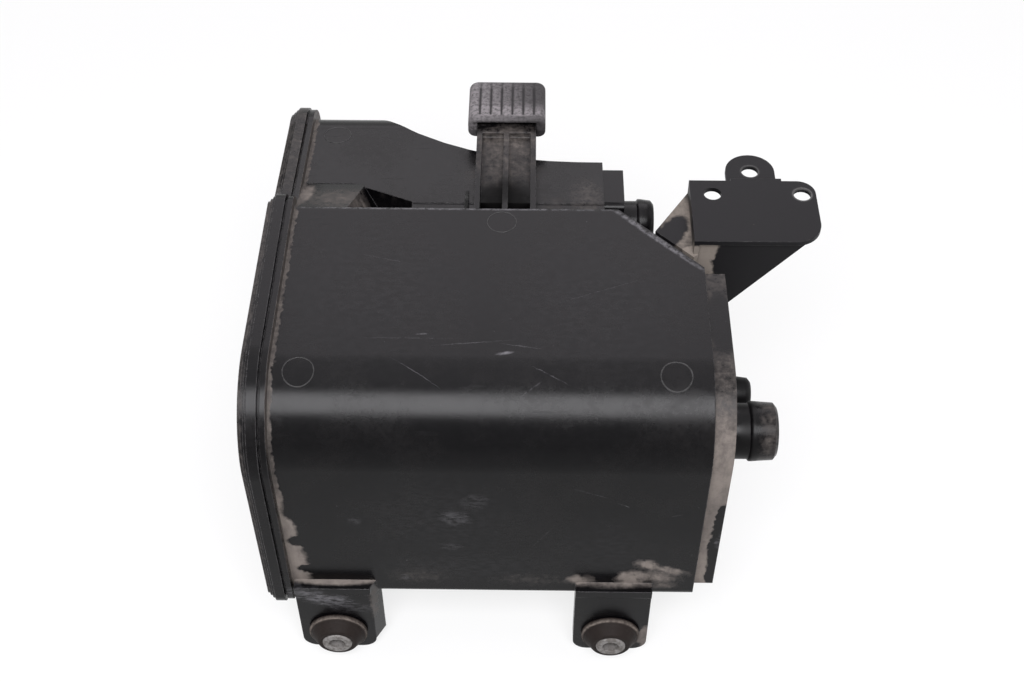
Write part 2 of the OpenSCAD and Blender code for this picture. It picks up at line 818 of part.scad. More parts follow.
module rear_port_fleece() {
    color("#d8d6cf") in_frame() rear_chamber(rear_bed_end, rear_bed_end + fleece_t, fill_in);
}

module rear_lid_fleece() {
    color("#d8d6cf") in_frame() rear_chamber(lid_fleece_x, bed_x, fill_in);
}

// Grid of round holes about a middle point, over a number of columns and rows
module hole_grid(y, z, columns, rows) {
    for (i = [0 : columns - 1], j = [0 : rows - 1])
        translate([y + (i - (columns - 1) / 2) * plate_pitch, z + (j - (rows - 1) / 2) * plate_pitch])
            circle(plate_hole_r);
}

// Ring on a pressure plate that holds a spring's foot
module spring_seat(y, z) {
    inner = spring_r + spring_wire_r + spring_gap;
    translate([plate_x - seat_h, y, z]) rotate([0, 90, 0]) difference() {
        cylinder(r = inner + seat_wall, h = seat_h + over);
        translate([0, 0, -over]) cylinder(r = inner, h = seat_h + over);
    }
}

module front_pressure_plate() {
    columns = floor((chamber_depth - 2 * fill_in - 2 * plate_hole_r) / plate_pitch);
    rows = floor((chamber_height - 2 * fill_in - 2 * plate_hole_r) / plate_pitch);
    color("#3c3c3e") in_frame() {
        along_x(plate_x, lid_fleece_x) difference() {
            front_outline(fill_in);
            intersection() {
                hole_grid(chamber_depth / 2, -chamber_height / 2, columns, rows);
                front_outline(fill_in + plate_pitch / 2);
            }
        }
        for (z = front_spring_z) spring_seat(front_spring_y, z);
    }
}

module rear_pressure_plate() {
    columns = floor((set_back_depth - 2 * fill_in - 2 * plate_hole_r) / plate_pitch);
    rows = floor((rear_height - 2 * fill_in - rear_roll_r) / plate_pitch);
    color("#3c3c3e") in_frame() {
        along_x(plate_x, lid_fleece_x) difference() {
            intersection() {
                rear_outline(fill_in);
                translate([set_back_y + fill_in, -far]) square(2 * far);
            }
            hole_grid(rear_spring_y, rear_spring_z - plate_pitch / 4, columns, rows);
        }
        spring_seat(rear_spring_y, rear_spring_z);
    }
}

// Compression spring along X: a round wire on a helix whose end coils lie flat
module coil_spring() {
    sides = wire_sides;
    steps = turn_steps;
    count = round(spring_turns * steps);
    rise = spring_len - 2 * spring_wire_r;
    function climb(turn) = rise * min(max((turn - flat_turns) / (spring_turns - 2 * flat_turns), 0), 1);
    points = [
        for (i = [0 : count], k = [0 : sides - 1])
            let (a = 360 * i / steps, b = 360 * (k + 0.5) / sides, r = spring_r + spring_wire_r * cos(b))
                [spring_wire_r + climb(i / steps) + spring_wire_r * sin(b), r * cos(a), r * sin(a)]
    ];
    side_faces = [
        for (i = [0 : count - 1], k = [0 : sides - 1])
            let (n = (k + 1) % sides)
                [i * sides + k, (i + 1) * sides + k, (i + 1) * sides + n, i * sides + n]
    ];
    first = [[for (k = [0 : sides - 1]) k]];
    last = [[for (k = [sides - 1 : -1 : 0]) count * sides + k]];
    polyhedron(points, concat(side_faces, first, last));
}

module front_upper_spring() {
    color("silver") in_frame() translate([lid_inner, front_spring_y, front_spring_z[0]]) coil_spring();
}

module front_lower_spring() {
    color("silver") in_frame() translate([lid_inner, front_spring_y, front_spring_z[1]]) coil_spring();
}

module rear_spring() {
    color("silver") in_frame() translate([lid_inner, rear_spring_y, rear_spring_z]) coil_spring();
}

// Rubber mount: front flange and cone, waist in the foot plate and rear flange
module grommet(x) {
    bore = sleeve_r + rubber_gap;
    waist = grommet_waist_r - rubber_gap;
    nose = bore + grommet_nose;
    shoulder = grommet_r - grommet_ledge;
    back = -foot_t - grommet_back;
    front = sleeve_out - sleeve_bare;
    color("#3a3230") in_frame() translate([x, foot_face, foot_z]) rotate([90, 0, 0])
        rotate_extrude() polygon([
            [bore, back], [shoulder, back], [shoulder, -foot_t - rubber_gap], [waist, -foot_t - rubber_gap],
            [waist, rubber_gap], [grommet_r, rubber_gap], [grommet_r, grommet_rim], [shoulder, grommet_rim],
            [shoulder, grommet_rim + grommet_shoulder], [nose, front], [bore, front]
        ]);
}

module left_foot_grommet() {
    grommet(feet_x[0]);
}

module right_foot_grommet() {
    grommet(feet_x[1]);
}

// Steel sleeve with chamfered ends
module sleeve(x) {
    back = -foot_t - grommet_back - sleeve_proud;
    edge = sleeve_cut;
    color("#b9b4ab") in_frame() translate([x, foot_face, foot_z]) rotate([90, 0, 0])
        rotate_extrude() polygon([
            [sleeve_bore_r, back], [sleeve_r - edge, back], [sleeve_r, back + edge],
            [sleeve_r, sleeve_out - edge], [sleeve_r - edge, sleeve_out], [sleeve_bore_r, sleeve_out]
        ]);
}

module left_foot_sleeve() {
    sleeve(feet_x[0]);
}

module right_foot_sleeve() {
    sleeve(feet_x[1]);
}

// Rubber boot with a round nose, grooves across its top and underside, and a plain lip at its mouth
module tongue_cushion() {
    x0 = tongue_x - cushion_w / 2;
    x1 = x0 + cushion_w;
    end_y = cushion_y + cushion_len;
    bottom = cushion_top - cushion_h;
    first = tongue_x - (groove_count - 1) / 2 * groove_pitch;
    color("#77746e") in_frame() difference() {
        intersection() {
            along_x(x0, x1) difference() {
                translate([cushion_y, bottom]) square([cushion_len, cushion_h]);
                round_off(end_y, cushion_top, -1, -1, cushion_nose_r);
                round_off(end_y, bottom, -1, 1, cushion_nose_r);
            }
            along_z(bottom, cushion_top) difference() {
                translate([x0, cushion_y]) square([cushion_w, cushion_len]);
                round_off(x0, end_y, 1, -1, cushion_r);
                round_off(x1, end_y, -1, -1, cushion_r);
            }
            along_y(cushion_y, end_y) difference() {
                translate([x0, bottom]) square([cushion_w, cushion_h]);
                round_off(x0, cushion_top, 1, -1, cushion_edge_r);
                round_off(x1, cushion_top, -1, -1, cushion_edge_r);
            }
        }
        along_y(cushion_y - over, tongue_end + cushion_gap)
            translate([x0 + cushion_side, bottom + cushion_skin])
                square([tongue_w + 2 * cushion_gap, tongue_t + cushion_gap + cushion_head]);
        for (i = [0 : groove_count - 1], z = [cushion_top, bottom])
            translate([first + i * groove_pitch, cushion_y + lip_len, z]) rotate([-90, 0, 0])
                cylinder(r = groove_r, h = cushion_len, $fn = 24);
    }
}

// Plan of the bracket's shelf with its two holes
module shelf_plan() {
    x1 = shelf_x + shelf_len;
    difference() {
        translate([shelf_x, shelf_y]) square([shelf_len, shelf_depth]);
        round_off(x1, shelf_y, -1, 1, shelf_front_r);
        round_off(x1, shelf_back, -1, -1, shelf_back_r);
        for (i = [0, 1])
            translate([shelf_x + shelf_hole_x + i * shelf_hole_pitch, shelf_back - shelf_hole_y])
                circle(shelf_hole_r);
    }
}

// Plan of the ear: a strip with a round end and a hole
module ear_plan() {
    x = shelf_x + ear_x;
    difference() {
        union() {
            translate([x - ear_w / 2, bend_y - sheet]) square([ear_w, ear_y - bend_y + sheet]);
            translate([x, ear_y]) circle(ear_w / 2);
        }
        translate([x, ear_y]) circle(shelf_hole_r);
    }
}

// Plan of the flange that lies on the bosses of the cut corner
module flange_plan() {
    translate([flange_x, flange_y]) rotate(45) translate([boss_h, -bracket_flange_w / 2])
        square([sheet, bracket_flange_w]);
}

// Folded steel bracket: shelf, joggled ear, web, flange and gusset
module valve_bracket() {
    inner = boss_h / sqrt(2);
    half = bracket_flange_w / 2 / sqrt(2);
    web_top = -web_drop;
    gusset_left = cut_sum + (2 * boss_h + sheet) / sqrt(2) - gusset_y;
    color("#303032") in_frame() difference() {
        union() {
            along_z(-sheet, 0) shelf_plan();
            // Step from the shelf down to the web
            along_z(web_top - sheet, 0) translate([shelf_x, shelf_y]) square([sheet, shelf_depth]);
            along_z(web_top - sheet, web_top) polygon([
                [flange_x + inner - half, flange_y + inner + half],
                [flange_x + inner + half, flange_y + inner - half],
                [shelf_x + sheet, shelf_y], [shelf_x + sheet, shelf_back], [shelf_x, shelf_back]
            ]);
            along_z(-gusset_h, web_top) flange_plan();
            // Bend and ear at the back
            along_z(-sheet, 0) translate([shelf_x + ear_x - ear_w / 2, shelf_back - over])
                square([ear_w, bend_out + over]);
            along_z(-ear_drop - sheet, 0) translate([shelf_x + ear_x - ear_w / 2, bend_y - sheet])
                square([ear_w, sheet]);
            along_z(-ear_drop - sheet, -ear_drop) ear_plan();
            // Gusset under the shelf's front edge
            along_y(gusset_y, gusset_y + sheet) polygon([
                [gusset_left, web_top - sheet], [shelf_x, web_top - sheet], [shelf_x, -sheet / 2],
                [shelf_x + shelf_len - shelf_front_r / 2, -sheet / 2],
                [shelf_x + gusset_foot, -gusset_h], [gusset_left, -gusset_h]
            ]);
        }
        at_screws() translate([0, 0, boss_h - over])
            cylinder(r = screw_r + screw_gap, h = sheet + 2 * over);
    }
}

// Two flanged hexagon screws that hold the bracket on its bosses
module bracket_screws() {
    seat = boss_h + sheet;
    color("#8c8880") in_frame() at_screws() {
        translate([0, 0, tip_gap - screw_depth]) cylinder(r = screw_r, h = seat + screw_depth);
        translate([0, 0, seat]) cylinder(r = screw_flange_r, h = screw_flange_h);
        translate([0, 0, seat]) cylinder(d = screw_af / cos(30), h = screw_head_h, $fn = 6);
    }
}

housing();
end_lid();
front_charcoal_bed();
rear_charcoal_bed();
front_port_fleece();
front_lid_fleece();
rear_port_fleece();
rear_lid_fleece();
front_pressure_plate();
rear_pressure_plate();
front_upper_spring();
front_lower_spring();
rear_spring();
left_foot_grommet();
right_foot_grommet();
left_foot_sleeve();
right_foot_sleeve();
tongue_cushion();
valve_bracket();
bracket_screws();
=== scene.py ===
"""Looks of a two-chamber charcoal canister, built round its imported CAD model.

Lengths in the classes are millimetres in the body's own corner frame: X runs from the lid flange to the
ports, Y from the front face to the back, and Z is zero on the top face. `to_part` carries them to metres in
the part's frame.
"""

import logging
import math
from dataclasses import dataclass
from enum import Enum
from typing import Sequence, Tuple, Union

import bmesh
import bpy
import numpy as np
from mathutils import Matrix, Vector


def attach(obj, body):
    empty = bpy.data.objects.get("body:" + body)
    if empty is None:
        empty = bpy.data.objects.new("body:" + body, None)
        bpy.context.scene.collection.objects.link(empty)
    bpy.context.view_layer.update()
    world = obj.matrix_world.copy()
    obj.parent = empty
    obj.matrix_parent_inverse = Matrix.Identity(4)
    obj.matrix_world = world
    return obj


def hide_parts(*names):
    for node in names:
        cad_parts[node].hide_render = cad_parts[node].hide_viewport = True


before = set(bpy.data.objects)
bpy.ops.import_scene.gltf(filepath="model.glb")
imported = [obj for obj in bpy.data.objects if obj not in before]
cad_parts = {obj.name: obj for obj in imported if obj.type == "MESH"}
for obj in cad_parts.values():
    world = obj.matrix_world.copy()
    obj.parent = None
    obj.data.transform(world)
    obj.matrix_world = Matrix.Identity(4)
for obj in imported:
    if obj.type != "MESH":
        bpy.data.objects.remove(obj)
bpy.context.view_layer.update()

LOG = logging.getLogger("canister")

Pair = Tuple[float, float]
Point = Tuple[float, float, float]
Colour = Tuple[float, float, float]
Socket = bpy.types.NodeSocket
Material = bpy.types.Material
Piece = bpy.types.Object
Value = Union[float, Socket]

# Body corner to part frame, in millimetres
SHIFT: Point = (-73.25, 10.6, 132.0)
MM = 0.001
# Points of a mesh that lie closer than this, in metres, are one point
MERGE = 2e-6
TINY = 1e-6
AXIS_X, AXIS_Z = 0, 2
WHITE: Colour = (1.0, 1.0, 1.0)
IMAGE_WIDTH = 1024
SENSOR_WIDTH = 36.0


class Blend(Enum):
    """Ways in which two masks are put together."""

    MORE = "MAXIMUM"
    TIMES = "MULTIPLY"
    PLUS = "ADD"
    MINUS = "SUBTRACT"
    OVER = "DIVIDE"


def to_part(points: np.ndarray) -> np.ndarray:
    """Carries body points, in millimetres, to metres in the part's frame."""
    return (np.asarray(points, float) + np.array(SHIFT)) * MM


@dataclass(frozen=True)
class Pattern:
    """Noise: cells in a millimetre, octaves, weight of the finer ones, stretch and shift along each axis."""

    scale: float
    detail: float = 3.0
    rough: float = 0.55
    stretch: Point = (1.0, 1.0, 1.0)
    offset: Point = (0.0, 0.0, 0.0)


@dataclass(frozen=True)
class Patch:
    """A soft ellipsoid of dust, wear or clean surface on a piece, turned by some degrees about its centre."""

    centre: Point
    radii: Point
    amount: float = 1.0
    soft: float = 0.45
    turn: Point = (0.0, 0.0, 0.0)


class Face(Enum):
    """Flat places of the housing: the axis across each, its level there and the reach of its patches."""

    PANEL = (1, 0.0, 2.0)
    PANEL_DUST = (1, 0.8, 1.8)
    FOOT = (1, -3.6, 3.0)
    TOP = (2, 0.0, 2.0)
    ROLL = (2, -1.0, 5.0)

    def patches(self, *rows: Sequence[float]) -> Tuple[Patch, ...]:
        """Makes one patch on this face from each row.

        Args:
            rows: two numbers for the centre and two for the half sizes along the face, the amount, the
                softness and, where it is turned, the turn in degrees.

        Returns:
            The patches.
        """
        axis, level, reach = self.value

        def across(value: float, along: Sequence[float]) -> Point:
            """Puts the value for the face's own axis in its place among the two along the face."""
            return (*along[:axis], value, *along[axis:])

        return tuple(
            Patch(across(level, row[:2]), across(reach, row[2:4]), row[4], row[5],
                  across(row[6] if len(row) > 6 else 0.0, (0.0, 0.0)))
            for row in rows
        )


class Nodes:
    """Adds nodes to one node tree and links them."""

    def __init__(self, tree: bpy.types.NodeTree) -> None:
        """Keeps the tree to which nodes are added."""
        self.tree = tree

    def add(self, kind: str, **inputs: Union[Value, Sequence[float]]) -> bpy.types.Node:
        """Adds a shader node.

        Args:
            kind: its kind.
            inputs: what is put on its inputs, by their names.

        Returns:
            The node.
        """
        node = self.tree.nodes.new("ShaderNode" + kind)
        for name, value in inputs.items():
            self.put(node.inputs[name], value)
        return node

    def put(self, socket: Socket, value: Union[Value, Sequence[float]]) -> None:
        """Links an output to an input, or writes a constant on it.

        Args:
            socket: the input.
            value: another node's output, a number or a few numbers; a colour has three and is made opaque.
        """
        if isinstance(value, Socket):
            self.tree.links.new(value, socket)
        else:
            socket.default_value = (*value, 1.0) if socket.type == "RGBA" else value

    def compute(self, kind: str, operation: str, *values: Union[Value, Sequence[float]]) -> bpy.types.Node:
        """Adds a node that works something out.

        Args:
            kind: Math or VectorMath.
            operation: what it does.
            values: its inputs, in order.

        Returns:
            The node.
        """
        node = self.add(kind)
        node.operation = operation
        for socket, value in zip(node.inputs, values):
            self.put(socket, value)
        return node

    def scaled(self, value: Value, factor: Value, offset: Value = 0.0) -> Socket:
        """Returns a value times a factor plus an offset."""
        return self.compute("Math", "MULTIPLY_ADD", value, factor, offset).outputs[0]

    def join(self, how: Blend, first: Value, *others: Value) -> Value:
        """Puts masks together one after the other.

        Args:
            how: the way.
            first: the mask to start from.
            others: those that are put to it.

        Returns:
            The result.
        """
        for other in others:
            first = self.compute("Math", how.value, first, other).outputs[0]
        return first

    def times(self, *masks: Value) -> Value:
        """Returns the product of masks."""
        return self.join(Blend.TIMES, *masks)

    def most(self, *masks: Value) -> Value:
        """Returns the largest of masks."""
        return self.join(Blend.MORE, *masks)

    def plus(self, *masks: Value) -> Value:
        """Returns the sum of masks."""
        return self.join(Blend.PLUS, *masks)

    def seen(self) -> Value:
        """Returns a value that is one for rays from the camera, reflections and clear pieces."""
        path = self.add("LightPath")
        return self.most(*(path.outputs[f"Is {ray} Ray"] for ray in ("Camera", "Glossy", "Transmission")))


class NodeGraph(Nodes):
    """Builds one procedural material whose patterns follow the body's millimetres."""

    EDGE_SAMPLES = 6
    SPECK_CORE = 0.5
    SPECK_STEP = 0.02
    GRAIN_WEIGHT = 1.1
    FACING = (0.35, 0.75)

    def __init__(self, name: str) -> None:
        """Starts a material with a Principled shader and finds each point's place on the body.

        Args:
            name: name of the material.
        """
        self.material = bpy.data.materials.new(name)
        self.material.use_nodes = True
        super().__init__(self.material.node_tree)
        self.tree.nodes.clear()
        self.shader = self.add("BsdfPrincipled")
        self.add("OutputMaterial", Surface=self.shader.outputs["BSDF"])
        coords = self.add("TexCoord").outputs["Object"]
        self.place = self.vector("MULTIPLY_ADD", coords, (1 / MM,) * 3, tuple(-s for s in SHIFT))
        self.x, self.y, self.z = self.split(self.place)

    def vector(self, operation: str, *values: Union[Socket, Point]) -> Socket:
        """Returns a Vector Math node's output; lengths and products come out as a number."""
        node = self.compute("VectorMath", operation, *values)
        return node.outputs["Value" if operation in ("LENGTH", "DOT_PRODUCT") else "Vector"]

    def split(self, vector: Socket) -> Sequence[Socket]:
        """Returns the three numbers of a vector."""
        return self.add("SeparateXYZ", Vector=vector).outputs

    def smooth(self, value: Value, start: float, end: float, low: float = 0.0, high: float = 1.0) -> Socket:
        """Eases from low to high while a value goes from start to end.

        Args:
            value: what is mapped.
            start: value at which the result is low.
            end: value at which the result is high; it may lie below start.
            low: result before start.
            high: result after end.

        Returns:
            The eased result.
        """
        node = self.add("MapRange")
        node.interpolation_type = "SMOOTHSTEP"
        if end < start:
            start, end, low, high = end, start, high, low
        for socket, number in zip(node.inputs, (value, start, end, low, high)):
            self.put(socket, number)
        return node.outputs[0]

    def noise(self, pattern: Pattern, coloured: bool = False) -> Socket:
        """Adds a noise texture.

        Args:
            pattern: its sizes.
            coloured: asks for three noises, as a colour, instead of one.

        Returns:
            The noise, around one half.
        """
        place = self.vector("MULTIPLY_ADD", self.place, pattern.stretch, pattern.offset)
        node = self.add("TexNoise", Vector=place, Scale=pattern.scale, Detail=pattern.detail,
                        Roughness=pattern.rough)
        return node.outputs[1 if coloured else 0]

    def ragged(self, scale: float, reach: float) -> Socket:
        """Moves the place about, for uneven edges.

        Args:
            scale: cells of the noise in a millimetre.
            reach: furthest move, in millimetres.

        Returns:
            The moved place.
        """
        colour = self.noise(Pattern(scale, 4.0, 0.6), coloured=True)
        shift = self.vector("MULTIPLY_ADD", colour, (2 * reach,) * 3, (-reach,) * 3)
        return self.vector("ADD", self.place, shift)

    def blob(self, patch: Patch, place: Socket) -> Socket:
        """Makes the mask of one patch: its amount inside, easing to nothing across its soft edge.

        Args:
            patch: the patch.
            place: place on the body.

        Returns:
            The mask.
        """
        turn = [math.radians(a) for a in patch.turn]
        node = self.add("Mapping", Vector=place, Location=patch.centre, Rotation=turn, Scale=patch.radii)
        node.vector_type = "TEXTURE"
        away = self.vector("LENGTH", node.outputs[0])
        return self.smooth(away, 1 + patch.soft, 1 - patch.soft, 0.0, patch.amount)

    def blobs(self, patches: Sequence[Patch], place: Socket) -> Value:
        """Returns the strongest of several patches at each point."""
        return self.most(*(self.blob(patch, place) for patch in patches))

    def specks(self, scale: float, radius: float, share: float) -> Value:
        """Makes a mask of scattered round specks.

        Args:
            scale: cells in a millimetre.
            radius: speck radius, as a share of a cell.
            share: share of the cells that hold a speck.

        Returns:
            The mask.
        """
        node = self.add("TexVoronoi", Vector=self.place, Scale=scale)
        dot = self.smooth(node.outputs["Distance"], radius, radius * self.SPECK_CORE)
        parts = self.add("SeparateColor", Color=node.outputs["Color"])
        chosen = self.smooth(parts.outputs[0], 1 - share, 1 - share + self.SPECK_STEP)
        return self.times(dot, chosen, parts.outputs[1])

    def mix(self, share: Value, a: Union[Socket, Colour], b: Union[Socket, Colour]) -> Socket:
        """Mixes two colours.

        Args:
            share: share of the second.
            a: the first.
            b: the second.

        Returns:
            The colour between them.
        """
        node = self.add("Mix")
        node.data_type = "RGBA"
        for index, value in ((0, share), (6, a), (7, b)):
            self.put(node.inputs[index], value)
        return node.outputs[2]

    def edges(self, radius: float, sharpness: float = 0.16) -> Tuple[Socket, Socket]:
        """Finds the outer and inner edges of a piece from a normal that is rounded over a small radius.

        Args:
            radius: radius of the rounding, in millimetres.
            sharpness: turn of the normal that counts as a full edge.

        Returns:
            The rounded normal, and a mask that is one along the edges.
        """
        bevel = self.add("Bevel", Radius=radius * MM)
        bevel.samples = self.EDGE_SAMPLES
        normal = self.add("NewGeometry").outputs["Normal"]
        turn = self.vector("DOT_PRODUCT", bevel.outputs[0], normal)
        return bevel.outputs[0], self.smooth(turn, 1.0, 1.0 - sharpness)

    def lying(self, thick: Value, grain: Socket) -> Value:
        """Breaks a smooth dust mask up with a grain, most of all along its edges.

        Args:
            thick: smooth mask.
            grain: noise around one half.

        Returns:
            The uneven mask, which is nothing where the smooth one is.
        """
        centred = self.scaled(thick, 1.0, -self.GRAIN_WEIGHT / 2)
        uneven = self.scaled(grain, self.GRAIN_WEIGHT, centred)
        return self.times(self.smooth(uneven, -0.06, 1.05), self.smooth(thick, 0.0, 0.2))

    def facing(self, axis: int) -> Socket:
        """Returns a mask that is one on faces that look along an axis, given by its number."""
        normal = self.add("NewGeometry").outputs["Normal"]
        return self.smooth(self.split(normal)[axis], *self.FACING)

    def bump(self, height: Value, depth: float, normal: Union[Socket, None] = None) -> Socket:
        """Raises the surface in the shading.

        Args:
            height: height, from nothing to one.
            depth: what a height of one is, in millimetres.
            normal: normal to start from, if it isn't the surface's own.

        Returns:
            The new normal.
        """
        node = self.add("Bump", Strength=1.0, Distance=depth * MM, Height=height)
        if normal is not None:
            self.put(node.inputs["Normal"], normal)
        return node.outputs[0]

    def attribute(self, name: str) -> Socket:
        """Finds a number that is kept on the piece's own points.

        Args:
            name: name of the attribute.

        Returns:
            The number.
        """
        node = self.add("Attribute")
        node.attribute_name = name
        return node.outputs["Fac"]

    def dress(self, colour: Union[Socket, Colour], rough: Value, normal: Socket, metallic: Value = 0.0,
              specular: float = 0.5) -> Material:
        """Writes the shader's main inputs.

        Args:
            colour: base colour.
            rough: roughness.
            normal: bumped normal.
            metallic: share of bare metal.
            specular: level of the surface reflection.

        Returns:
            The finished material.
        """
        values = {"Base Color": colour, "Roughness": rough, "Metallic": metallic,
                  "Specular IOR Level": specular, "Normal": normal}
        for name, value in values.items():
            self.put(self.shader.inputs[name], value)
        return self.material


@dataclass(frozen=True)
class PlasticFinish:
    """Black satin moulding with a thin film, dusty corners, specks, scratches, smears and rubbed edges, with
    painted highlight on edges and in a few lines and patches, and patches of painted shade.
    """

    name: str
    dark: Colour = (0.0008, 0.0007, 0.0010)
    pale: Colour = (0.0024, 0.0022, 0.0027)
    dust: Colour = (0.172, 0.15, 0.134)
    thin_dust: Colour = (0.084, 0.074, 0.069)
    # colour of scuffs and scratches, also of the painted highlight lines along the top's back edges
    scuff: Colour = (0.115, 0.112, 0.12)
    # colour of rubbed edges, which also serve as painted highlight where rounded edges catch the light
    rubbed: Colour = (0.075, 0.072, 0.074)
    # darker colour of the painted shade, also used where the spigots are made duller
    painted_shade: Colour = (0.0012, 0.001, 0.001)
    rough: float = 0.23
    specular: float = 0.12
    film: float = 0.012
    # strength of the lighter rubbed edges, partly real wear and partly painted highlight
    edge_wear_and_glint: float = 0.6
    edge_radius: float = 0.6
    clouds: Pattern = Pattern(0.035, 4.0, 0.6)
    grain: Pattern = Pattern(0.4, 5.0, 0.7)
    grit: Pattern = Pattern(2.6, 2.0, 0.6)
    end_cloud: Pattern = Pattern(0.05, 4.0, 0.6, offset=(9.0, 0.0, 3.0))
    wipes: Pattern = Pattern(0.5, 4.0, 0.65, (0.5, 1.0, 1.6))
    streaks: Pattern = Pattern(0.16, 5.0, 0.65, (1.0, 1.0, 0.35), (40.0, 7.0, 2.0))
    hairs: Pattern = Pattern(0.05, 2.0, 0.5, (1.0, 9.0, 5.0))
    # patches of thick dust; on the saddle and the lid some of them are painted sheen and highlight
    dusty: Tuple[Patch, ...] = ()
    settled: Tuple[Patch, ...] = ()
    shade_and_dull: Tuple[Patch, ...] = ()
    clean: Tuple[Patch, ...] = ()
    smeared: Tuple[Patch, ...] = ()
    scratches_and_highlights: Tuple[Patch, ...] = ()
    flange_dust: bool = False
    flange_face: float = 2.2
    flange_line: float = 1.5
    end_dust: Union[Pair, None] = None

    def flange_mask(self, graph: NodeGraph, place: Socket) -> Value:
        """Dust in the corner beside the flange: a thin grey line, and a wide band low on the front panel.

        Args:
            graph: the material's graph.
            place: place with uneven edges.

        Returns:
            The mask, from the distance to the flange as a share of the band's width at that height.
        """
        x, _, z = graph.split(place)
        front = graph.smooth(graph.y, 3.0, 0.5)
        low = graph.smooth(z, -34.0, -66.0, 0.0, 3.4)
        lower = graph.smooth(z, -66.0, -92.0, 0.0, 2.4)
        width = graph.scaled(front, graph.plus(low, lower), self.flange_line)
        share = graph.join(Blend.OVER, graph.join(Blend.MINUS, x, self.flange_face), width)
        beyond = graph.times(graph.smooth(graph.x, 2.0, 2.25), graph.smooth(graph.y, -1.6, -0.4))
        strength = graph.scaled(front, graph.smooth(graph.z, -28.0, -60.0, 0.0, 0.45), 0.5)
        return graph.times(graph.smooth(share, 1.25, 0.7), beyond, strength)

    def end_mask(self, graph: NodeGraph, first: float, last: float) -> Value:
        """Cloudy dust on the stepped end, thinner towards the top and on the faces that look along X.

        Args:
            graph: the material's graph.
            first: X where the dust starts.
            last: X where it ends.

        Returns:
            The mask.
        """
        span = graph.times(graph.smooth(graph.x, first, first + 0.4), graph.smooth(graph.x, last, last - 0.3),
                           graph.smooth(graph.z, -3.0, -19.0, 0.3, 1.0))
        cloud = graph.smooth(graph.noise(self.end_cloud), 0.3, 0.6, 0.62, 0.95)
        return graph.times(span, cloud, graph.scaled(graph.facing(AXIS_X), -0.62, 1.0))

    def thick_dust(self, graph: NodeGraph, near: Socket) -> Value:
        """Puts together all places where dust lies thickly, with the painted highlight and sheen patches
        listed among them, and takes the wiped places off.

        Args:
            graph: the material's graph.
            near: place with uneven edges.

        Returns:
            The mask.
        """
        thick: Value = graph.blobs(self.dusty, near) if self.dusty else 0.0
        if self.flange_dust:
            thick = graph.most(thick, self.flange_mask(graph, near))
        if self.end_dust is not None:
            thick = graph.most(thick, self.end_mask(graph, *self.end_dust))
        if self.settled:
            ledges = graph.blobs(self.settled, graph.place)
            thick = graph.most(thick, graph.times(ledges, graph.facing(AXIS_Z)))
        if self.clean:
            thick = graph.join(Blend.MINUS, thick, graph.blobs(self.clean, near))
        return thick

    def marks(self, graph: NodeGraph, grain: Socket, near: Socket) -> Value:
        """Puts specks, scratches, painted highlight lines and smears together.

        Args:
            graph: the material's graph.
            grain: noise that breaks the scratches up.
            near: place with uneven edges.

        Returns:
            The mask.
        """
        marks = graph.most(graph.specks(0.12, 0.035, 0.25), graph.specks(0.33, 0.05, 0.14))
        if self.scratches_and_highlights:
            lines = graph.blobs(self.scratches_and_highlights, graph.ragged(0.7, 0.5))
            marks = graph.most(marks, graph.times(lines, graph.smooth(grain, 0.35, 0.6)))
        if self.smeared:
            wipes = graph.smooth(graph.noise(self.wipes), 0.36, 0.66)
            marks = graph.most(marks, graph.times(graph.blobs(self.smeared, near), wipes))
        return marks

    def make(self) -> Material:
        """Builds the material, from the bare plastic to the dust that lies on everything else.

        Returns:
            The material.
        """
        graph = NodeGraph(self.name)
        normal, edge = graph.edges(self.edge_radius)
        near = graph.ragged(0.24, 2.3)
        clouds, grain, grit = (graph.noise(pattern) for pattern in (self.clouds, self.grain, self.grit))
        # thin film that shows in clouds, and a grainy break-up for thicker dust
        film = graph.times(graph.smooth(clouds, 0.4, 0.7), graph.smooth(grain, 0.3, 0.75, 0.3, 1.0))
        dust = graph.lying(self.thick_dust(graph, near), grain)
        # lighter rubbed edges: partly wear, partly painted highlight along rounded edges
        worn = graph.times(edge, graph.smooth(grain, 0.3, 0.65, 0.12, self.edge_wear_and_glint))
        tone = graph.times(clouds, graph.smooth(grain, 0.2, 0.8, 0.5, 1.6))
        colour = graph.mix(tone, self.dark, self.pale)
        colour = graph.mix(graph.times(film, self.film), colour, self.dust)
        colour = graph.mix(worn, colour, self.rubbed)
        # scuffs, specks, smears and the painted highlight lines along edges
        colour = graph.mix(graph.times(self.marks(graph, grain, near), 0.8), colour, self.scuff)
        streaks = graph.smooth(graph.noise(self.streaks), 0.3, 0.62, 0.3, 1.0)
        tint = graph.mix(graph.times(dust, streaks), self.thin_dust, self.dust)
        colour = graph.mix(dust, colour, tint)
        hairs = graph.smooth(graph.noise(self.hairs), 0.66, 0.72, 0.0, 0.07)
        rough = graph.scaled(film, 0.14, graph.scaled(grain, 0.1, self.rough - 0.05))
        rough = graph.plus(rough, graph.times(dust, 0.5), hairs)
        height = graph.scaled(grit, 0.4, graph.scaled(grain, 0.4, dust))
        # painted shade: darker, rougher colour at the tongue's root and the hollow beside it, and duller
        # spigots
        if self.shade_and_dull:
            painted_shade = graph.blobs(self.shade_and_dull, near)
            colour = graph.mix(painted_shade, colour, self.painted_shade)
            rough = graph.most(rough, graph.times(painted_shade, 0.9))
        return graph.dress(colour, rough, graph.bump(height, 0.05, normal), specular=self.specular)


